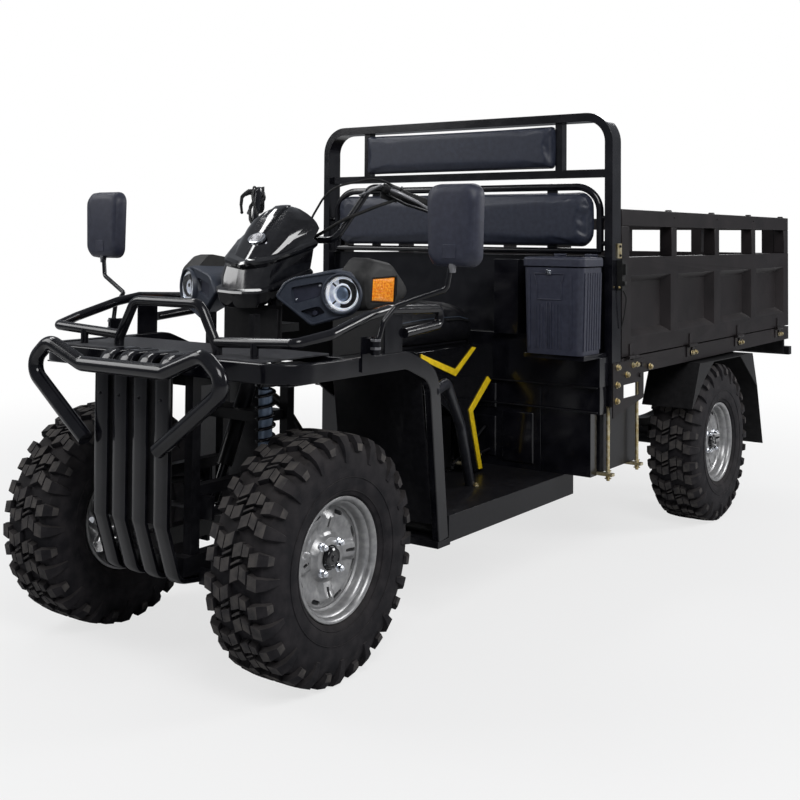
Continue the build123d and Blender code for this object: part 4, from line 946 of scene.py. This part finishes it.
def on_wall(wall, z):
    """Level of a leaning wall at a height."""
    (low, z0), (high, z1) = wall
    return low + (high - low) * (z - z0) / (z1 - z0)


def make_box_trim():
    """Raised ribs, the framed panel and the lock of the storage box."""
    bm = bmesh.new()
    for x, z0, z1, width in FRONT_RIBS:
        y0, y1 = on_wall(BOX_FRONT, z0), on_wall(BOX_FRONT, z1)
        outline = [(y0 - 2.2, z0), (y0 + 2, z0), (y1 + 2, z1), (y1 - 2.2, z1)]
        side_prism(bm, outline, x - width / 2, x + width / 2)
    x0, x1 = on_wall(BOX_SIDE, 785), on_wall(BOX_SIDE, 1050)
    for y, width in SIDE_RIBS:
        corners = ((x0 - 2, 785), (x0 + 2.2, 785), (x1 + 2.2, 1050), (x1 - 2, 1050))
        prism(bm, [at(x, y - width / 2, z) for x, z in corners], Vector((0, width * MM, 0)))
    for ends in zip(BOX_PANEL, BOX_PANEL[1:] + BOX_PANEL[:1]):
        start, end = (at(x, on_wall(BOX_FRONT, z) - 0.8, z) for x, z in ends)
        cylinder(bm, start, end, 2.4, 8)
    for x in (500, 513):
        cylinder(bm, at(x, 1118.5, 790), at(x, 1117, 950), 2, 8)
    piece(bm, "storage_box_ribs", "box_plastic", "body", bevel=0.6)
    bm = bmesh.new()
    for k in range(9):
        x = 425 + 24 * k
        slab(bm, x, x + 12, 1122, 1140, 1101.5, 1103.6)
    slab(bm, 430, 612, 1160, 1240, 1101.5, 1103)
    piece(bm, "box_lid_ribs", "box_plastic", "storage_lid", bevel=0.6)
    bm = bmesh.new()
    for y0, y1, radius in ((1118, 1111, 11), (1111, 1108, 7)):
        cylinder(bm, at(508, y0, 1052), at(508, y1, 1052), radius, 32)
    slab(bm, 506.6, 509.4, 1106.5, 1109, 1047, 1057)
    piece(bm, "box_lock", "chrome", "body", bevel=0.5)


# Trim of the bed: zinc bolts, latches with their cables, gate caps and lamp housings

HINGE_SPOTS = (1466, 2039, 2598, 3161)
GUSSET_SPOTS = ((1350, 716), (1344, 655), (1340, 599), (1426, 684), (1629, 696))
GATE_POSTS = (1876, 2346, 2816)
GATE_END = 3290
LATCH_CABLE = ((664, 1372, 990), (672, 1388, 960), (666, 1384, 900), (657, 1376, 850))
LAMP_HOUSING = ((462, 469, 3346, 3384, 632, 698), (611, 618, 3346, 3384, 632, 698),
                (462, 618, 3346, 3384, 691, 698), (462, 618, 3344, 3349, 632, 698))


def make_bed_trim():
    """Rail bolts, latches and cables of the front posts, caps of the gates and housings of the tail lamps."""
    zinc, latch, cable, housings = bmesh.new(), bmesh.new(), bmesh.new(), bmesh.new()
    for side, word in SIDES:
        out = Vector((side, 0, 0))
        for y in HINGE_SPOTS:
            for shift in (12, 48):
                bolt(zinc, at(side * 656, y + shift, 713), out, 9.5)
        for y, z in GUSSET_SPOTS:
            bolt(zinc, at(side * 656, y, z), out, 11)
        slab(zinc, side * 652, side * 657, 1350, 1381, 1098, 1150)
        for z in (1108, 1140):
            bolt(latch, at(side * 657, 1365, z), out, 5)
        slab(latch, side * 652, side * 672, 1352, 1378, 985, 1092)
        slab(latch, side * 654, side * 682, 1358, 1372, 1040, 1078)
        cylinder(latch, at(side * 672, 1356, 1010), at(side * 672, 1376, 1010), 9, 20)
        for y, z in ((1352, 996), (1376, 990)):
            bolt(zinc, at(side * 660, y, z), out, 5)
        tube(cable, rounded([at(side * x, y, z) for x, y, z in LATCH_CABLE], 0.04, 6), 2.6, 10)
        for x0, x1, *rest in LAMP_HOUSING:
            slab(housings, side * x0, side * x1, *rest)
        caps = bmesh.new()
        for y in GATE_POSTS + (GATE_END,):
            cylinder(caps, at(side * 627, y, 1270), at(side * 627, y, 1280), 16, 20, 11)
        for y in GATE_POSTS:
            bolt(caps, at(side * 652, y, 1250), out, 3)
        piece(caps, f"gate_caps_{word}", "bed_paint", f"gate_{word}", bevel=1.0)
    slab(housings, -626, 626, 3338, 3344, 606, 700)
    piece(housings, "lamp_housings", "black_plastic", "body", bevel=1.5)
    piece(zinc, "bed_bolts", "yellow_zinc", "body", bevel=0.4)
    piece(latch, "bed_latches", "rubber", "body", bevel=1.5)
    piece(cable, "latch_cables", "rubber", "body")


# Threaded hanger rods with their nuts

ROD_X, THREAD_FROM, THREAD_PITCH = 622, 358, 4
ROD_NUTS = ((327, 335, 9, 6), (345, 352, 9, 6), (352, 354, 12, 20), (325, 327, 12, 20))


def make_hangers():
    """Nuts, washers and thread rings on the hanger rods, in zinc."""
    bm = bmesh.new()
    for side in (1, -1):
        for y, top in ((1345, 582), (1590, 680)):
            for z0, z1, radius, sides in ROD_NUTS + ((top - 10, top - 2, 9, 6),):
                cylinder(bm, at(side * ROD_X, y, z0), at(side * ROD_X, y, z1), radius, sides)
            for z in range(THREAD_FROM, top - 5, THREAD_PITCH):
                cylinder(bm, at(side * ROD_X, y, z), at(side * ROD_X, y, z + 2.2), 6.7, 10)
    piece(bm, "hanger_nuts", "yellow_zinc", "body", bevel=0.3)


# Handlebar's fittings: grips, levers with ball ends, perches, switch boxes and cables

BAR_ROUTE = ((0, 368, 1157), (172, 368, 1157), (236, 466, 1328), (372, 616, 1262))
CABLES = (
    # radius, points
    (3.4, ((330, 590, 1290), (250, 470, 1352), (160, 350, 1316), (110, 330, 1226), (78, 336, 1176))),
    (5.2, ((318, 560, 1300), (270, 450, 1262), (196, 372, 1218), (140, 352, 1182), (90, 350, 1160))),
    (3.4, ((-330, 590, 1290), (-262, 470, 1340), (-170, 360, 1290), (-112, 338, 1210), (-70, 340, 1170))),
    (5.2, ((-318, 560, 1300), (-270, 460, 1268), (-196, 382, 1216), (-130, 356, 1184), (-88, 352, 1160))))


def make_controls():
    """Everything that turns with the handlebar, on both ends."""
    grips, dark, shiny, cables = bmesh.new(), bmesh.new(), bmesh.new(), bmesh.new()
    inner, outer = Vector(BAR_ROUTE[2]), Vector(BAR_ROUTE[3])
    along = (outer - inner).normalized()
    ahead = along.cross(Vector((0, 0, 1))).normalized()
    if ahead.y > 0:
        ahead = -ahead
    up = ahead.cross(along).normalized()
    if up.z < 0:
        up = -up
    length = (outer - inner).length

    def spot(run, forward=0.0, rise=0.0, side=1):
        point = inner + along * run + ahead * forward + up * rise
        return at(side * point.x, point.y, point.z)

    for side in (1, -1):
        def tip(back, forward=0.0, rise=0.0):
            return spot(length - back, forward, rise, side)

        tube(grips, [tip(118), tip(114), tip(6), tip(-1)], [15, 17.5, 17.5, 14], 24)
        for k in range(12):
            back = 110 - 8.5 * k
            tube(grips, [tip(back), tip(back - 4)], 18.6, 20)
        tube(grips, [tip(122), tip(117)], 23, 24)
        cylinder(dark, tip(152), tip(126), 21, 24)
        prism(dark, [tip(160, 8, 20), tip(122, 8, 20), tip(122, -18, 26), tip(160, -18, 26)],
              tip(0, 0, -48) - tip(0))
        cylinder(dark, tip(178), tip(160), 18, 20)
        tube(dark, [tip(172, 10, 0), tip(168, 34, 2), tip(150, 46, 1)], [11, 10, 8], 14)
        lever = rounded([tip(158, 44, 1), tip(130, 58, -2), tip(70, 62, -10), tip(22, 60, -20)], 0.05, 5)
        taper = [7 - 2.4 * k / (len(lever) - 1) for k in range(len(lever))]
        tube(shiny if side > 0 else dark, lever, taper, 12)
        lathe(dark, [(-6, 0), (-4.2, 4.2), (0, 6), (4.2, 4.2), (6, 0)], tip(20, 60, -20), (1, 0, 0), 16)
    tube(dark, [spot(40), spot(78)], 19, 20)
    prism(dark, [spot(38, 10, 14), spot(80, 10, 14), spot(80, -22, 22), spot(38, -22, 22)],
          spot(0, 0, -44) - spot(0))
    cable = rounded([spot(30, 18, 4), spot(22, 44, 10), spot(-18, 40, -34), spot(-30, 20, -44)], 0.03, 6)
    tube(shiny, cable, 3.2, 10)
    for rise in (16, 24):
        bolt(shiny, spot(94, -4, rise), up, 4)
    _, y, z = BAR_ROUTE[0]
    for x in (-42, 42):
        cylinder(dark, at(x - 14, y, z), at(x + 14, y, z), 21, 28)
        for shift in (-17, 17):
            bolt(shiny, at(x, y + shift, z + 19), (0, 0, 1), 6)
    for radius, points in CABLES:
        tube(cables, rounded([at(*p) for p in points], 0.12, 10), radius, 12)
    weld(dark)
    piece(grips, "bar_grips", "rubber", "steering", bevel=0.5)
    piece(dark, "bar_fittings", "black_plastic", "steering", bevel=1.0)
    piece(shiny, "bar_levers", "bare_steel", "steering", bevel=0.4)
    piece(cables, "bar_cables", "rubber", "steering")


# Front guard: four rolled bars, and the plain shield behind them

BAR_XS = (-113, -38, 41, 124)
BAR_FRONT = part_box("grille")[0][1] / MM - AXLE_Y + 3
BAR_PATH = ((-172, 854), (-262, 854), (BAR_FRONT, 806), (BAR_FRONT, 410), (-240, 254), (-118, 238))
BAR_SECTION = ((-26, 13), (-26, 3), (-22, 0), (-9, -1.5), (9, -1.5), (22, 0), (26, 3), (26, 13), (22, 13),
               (20, 5), (-20, 5), (-22, 13))
SHIELD_SECTION = ((-150, 19), (-150, 16), (150, 16), (150, 19))
SHIELD_SPAN = (335, 800)


def guard_strip(bm, middle, section, low, high):
    """Strip along the front bars' path between two heights: its section is (across, inwards)."""
    route = rounded([at(0, y, z) for y, z in BAR_PATH], 42 * MM, 8)
    rings = []
    for k, point in enumerate(route):
        ahead = heading(route, k)
        inwards = Vector((0, -ahead.z, ahead.y))
        if low * MM < point.z < high * MM:
            rings.append([point + Vector(((middle + u) * MM, 0, 0)) + inwards * (v * MM) for u, v in section])
    skin(bm, rings)


def make_front_guard():
    """Four rolled bars with turned edges, their bolts, and the dark shield close behind them."""
    bm = bmesh.new()
    for x in BAR_XS:
        guard_strip(bm, x, BAR_SECTION, 0, 1000)
    piece(bm, "grille_bars", "black_gloss", "body", ("grille",), bevel=1.2)
    bm = bmesh.new()
    guard_strip(bm, 0, SHIELD_SECTION, *SHIELD_SPAN)
    piece(bm, "front_shield", "black_plastic", "body", bevel=0.6)
    bm = bmesh.new()
    for x in BAR_XS:
        bolt(bm, at(x, BAR_FRONT - 2, 738), (0, -1, 0), 4)
    piece(bm, "grille_bolts", "spring_black", "body", bevel=0.3)


# Lower wall behind the footboards, with the leg guards and the pedal linkage in front of it

GUARD_ROUTE = ((490, 440, 715), (455, 560, 725), (380, 760, 560), (330, 900, 342))
WALL_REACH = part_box("bulkhead")[1][0] / MM - 8
WALL_FIELDS = ((140, 226, 372, 520), (140, 226, 548, 640), (250, 380, 360, 545), (-226, -140, 372, 520),
               (-226, -140, 548, 640), (-380, -250, 360, 545))
LINKAGE_RODS = (((188, 1010, 372), (188, 1120, 420), (186, 1232, 478)),
                ((206, 1040, 372), (204, 1150, 390), (202, 1238, 398)))
LINKAGE_JOINTS = ((1120, 420), (1150, 392), (1040, 376))


def make_lower_wall():
    """Pressed wall under the seat shelf, its ledges, the leg guard sleeves and the pedals' linkage."""
    bm = bmesh.new()
    slab(bm, -408, 408, 1246, 1250, 338, 664)
    for x0, x1, z0, z1 in WALL_FIELDS:
        rings = []
        for y, i in ((1247, 0), (1241, 4), (1240, 9)):
            corners = ((x0 + i, z0 + i), (x1 - i, z0 + i), (x1 - i, z1 - i), (x0 + i, z1 - i))
            rings.append([at(x, y, z) for x, z in corners])
        skin(bm, rings)
    piece(bm, "lower_wall", "black_gloss", "body", bevel=1.2)
    bm = bmesh.new()
    for z, reach in ((650, 4), (566, 3)):
        slab(bm, -WALL_REACH, WALL_REACH, 1238 - reach, 1241, z, z + 5)
    piece(bm, "wall_ledges", "black_frame", "body", bevel=1.5)
    guards, rods, joints = bmesh.new(), bmesh.new(), bmesh.new()
    for side in (1, -1):
        tube(guards, rounded([at(side * x, y, z) for x, y, z in GUARD_ROUTE], 60 * MM, 8), 17, 24)
        slab(guards, side * 318, side * 342, 884, 916, 336, 342)
        bolt(joints, at(side * 352, 902, 341), (0, 0, 1), 9)
        for rod in LINKAGE_RODS:
            tube(rods, [at(side * x, y, z) for x, y, z in rod], 5, 12)
        for y, z in LINKAGE_JOINTS:
            cylinder(joints, at(side * 178, y, z), at(side * 216, y, z), 7, 20)
            bolt(joints, at(side * 216, y, z), (side, 0, 0), 5)
        slab(rods, side * 180, side * 214, 1112, 1128, 338, 424)
        slab(rods, side * 196, side * 210, 1144, 1156, 338, 396)
    piece(guards, "leg_guards", "tube_satin", "body", bevel=0.8)
    piece(rods, "pedal_linkage", "black_frame", "body", bevel=0.8)
    piece(joints, "linkage_joints", "yellow_zinc", "body", bevel=0.4)


# Turn signals, and the cover in front of the steering column

SIGNAL_MIDDLE = Vector((337, 1013))
LENS_STEPS = ((357, 0.9), (374, 0.9), (379, 0.86), (381, 0.78), (381.5, 0.4))
SIGNAL_FRAME_STEPS = ((358, 0.98), (381, 0.98), (383, 0.96), (383, 0.93), (379, 0.9), (358, 0.9))


def signal_rings(side, steps):
    """Rings of the turn signal's outline: (x, share of its size) for each."""
    return [[at(side * x, *(SIGNAL_MIDDLE + (Vector(p) - SIGNAL_MIDDLE) * share)) for p in SIGNAL_OUTLINE]
            for x, share in steps]


def make_signals():
    """Ribbed amber lenses in the fairings with their frames, and the dark column cover."""
    for side, word in SIDES:
        bm = bmesh.new()
        skin(bm, signal_rings(side, LENS_STEPS))
        for k in range(6):
            z = 991 + 8.6 * k
            tube(bm, [at(side * 381, 292, z), at(side * 381, 380, z)], 1.3, 8)
        piece(bm, f"signal_lens_{word}", "amber_lens", "body", ("turn_signals",), bevel=1.0)
        bm = bmesh.new()
        skin(bm, signal_rings(side, SIGNAL_FRAME_STEPS), closed=True)
        piece(bm, f"signal_frame_{word}", "black_plastic", "body", bevel=0.6)
    bm = bmesh.new()
    for y0, inset in ((181, 0), (176, 10)):
        slab(bm, -112 + inset, 122 - inset, y0, 185, 838 + inset, 962 - inset)
    piece(bm, "column_cover", "black_plastic", "body", bevel=2.0)


place_wheels()
make_cowl()
make_pods()
make_mirrors()
for nodes, radius in SOFTENED:
    for node in nodes:
        soften(node, radius)
make_soft()
make_springs()
make_box_trim()
make_bed_trim()
make_hangers()
make_controls()
make_front_guard()
make_lower_wall()
make_signals()


# Floor, light and camera

CAMERA_FROM_AXLE = (2354.9, -2344.4, 1170.8)
CAMERA_YAW = radians(35.5777)
CAMERA_PITCH = radians(-1.7227)
CAMERA_ROLL = radians(0.4269)
FOCAL_PIXELS = 1134.53
IMAGE_PIXELS = 800
HORIZON_PIXEL = 201.95
SENSOR_MM = 36.0
FADE_FROM = 1.6
FADE_TO = 5.0
FLOOR_WHITE = 0.72
FLOOR_GREY = (0.55, 0.55, 0.55, 1)
WHITE = (1, 1, 1, 1)
SKY, SKY_STRENGTH = (0.88, 0.92, 1.0, 1), 0.24
LAMPS = (
    # place, aim, length, width, watts
    ((3.6, -3.6, 4.6), (0, 0, 0.7), 2.6, 2.6, 205),
    ((-3.4, -3.6, 3.2), (0, -0.8, 0.7), 2.2, 2.2, 80),
    ((4.4, 3.0, 3.0), (0.4, 1.4, 0.8), 2.0, 2.0, 170),
    ((-1.0, 4.4, 4.0), (0, 0, 0.9), 2.6, 2.6, 110),
    ((-3.4, -1.3, 4.9), (0, -1.27, 1.2), 3.2, 0.55, 60))


def floor_paint():
    """Pale floor that takes the object's shadow and turns white away from it, for the camera only."""
    made = bpy.data.materials.new("floor")
    made.use_nodes = True
    tree = made.node_tree
    shader = tree.nodes["Principled BSDF"]
    set_inputs(tree, shader, {"Base Color": FLOOR_GREY, "Roughness": 0.9})
    white = add_node(tree, "Emission", {"Color": WHITE, "Strength": 1.0})
    far = add_node(tree, "VectorMath", {0: add_node(tree, "NewGeometry", {}).outputs["Position"]})
    far.operation = "LENGTH"
    fade = add_node(tree, "MapRange", {"Value": far.outputs["Value"], "From Min": FADE_FROM,
                                       "From Max": FADE_TO, "To Min": FLOOR_WHITE})
    fade.interpolation_type = "SMOOTHSTEP"
    path = add_node(tree, "LightPath", {})
    seen = add_node(tree, "Math", {0: path.outputs["Is Camera Ray"], 1: fade.outputs["Result"]})
    seen.operation = "MULTIPLY"
    mix = add_node(tree, "MixShader", {"Fac": seen.outputs["Value"], 1: shader.outputs["BSDF"],
                                       2: white.outputs["Emission"]})
    set_inputs(tree, tree.nodes["Material Output"], {"Surface": mix.outputs["Shader"]})
    return made


def build_floor():
    """Round pale floor, far wider than the object."""
    bm = bmesh.new()
    bmesh.ops.create_circle(bm, cap_ends=True, segments=96, radius=60)
    mesh = bpy.data.meshes.new("floor")
    bm.to_mesh(mesh)
    bm.free()
    mesh.materials.append(floor_paint())
    floor = add_object("floor", mesh)


def build_light():
    """White surround that lights the object weakly, and soft lamps."""
    world = bpy.data.worlds.new("studio")
    bpy.context.scene.world = world
    world.use_nodes = True
    tree = world.node_tree
    light = tree.nodes["Background"]
    set_inputs(tree, light, {"Color": SKY, "Strength": SKY_STRENGTH})
    seen = add_node(tree, "Background", {"Color": WHITE})
    path = add_node(tree, "LightPath", {})
    mix = add_node(tree, "MixShader", {"Fac": path.outputs["Is Camera Ray"], 1: light.outputs["Background"],
                                       2: seen.outputs["Background"]})
    set_inputs(tree, tree.nodes["World Output"], {"Surface": mix.outputs["Shader"]})
    for number, (place, aim, length, width, watts) in enumerate(LAMPS):
        data = bpy.data.lights.new(f"lamp_{number}", "AREA")
        data.shape = "RECTANGLE"
        data.size, data.size_y = length, width
        data.energy = watts
        lamp = add_object(f"lamp_{number}", data)
        lamp.location = place
        lamp.rotation_euler = (Vector(aim) - Vector(place)).to_track_quat("-Z", "Y").to_euler()


def build_camera():
    """Camera solved from the photograph."""
    level = cos(CAMERA_PITCH)
    ahead = Vector((-sin(CAMERA_YAW) * level, cos(CAMERA_YAW) * level, -sin(CAMERA_PITCH)))
    right = Vector((cos(CAMERA_YAW), sin(CAMERA_YAW), 0))
    up = right.cross(ahead)
    rolled = right * cos(CAMERA_ROLL) + up * sin(CAMERA_ROLL)
    up = up * cos(CAMERA_ROLL) - right * sin(CAMERA_ROLL)
    data = bpy.data.cameras.new("camera")
    data.sensor_width = SENSOR_MM
    data.lens = FOCAL_PIXELS / IMAGE_PIXELS * SENSOR_MM
    data.shift_y = (HORIZON_PIXEL - IMAGE_PIXELS / 2) / IMAGE_PIXELS
    data.clip_end = 200
    camera = add_object("camera", data)
    turn = Matrix((rolled, up, -ahead)).transposed().to_4x4()
    camera.matrix_world = Matrix.Translation(at(*CAMERA_FROM_AXLE)) @ turn
    bpy.context.scene.camera = camera


build_floor()
build_light()
build_camera()
bpy.context.scene.view_settings.view_transform = "Standard"
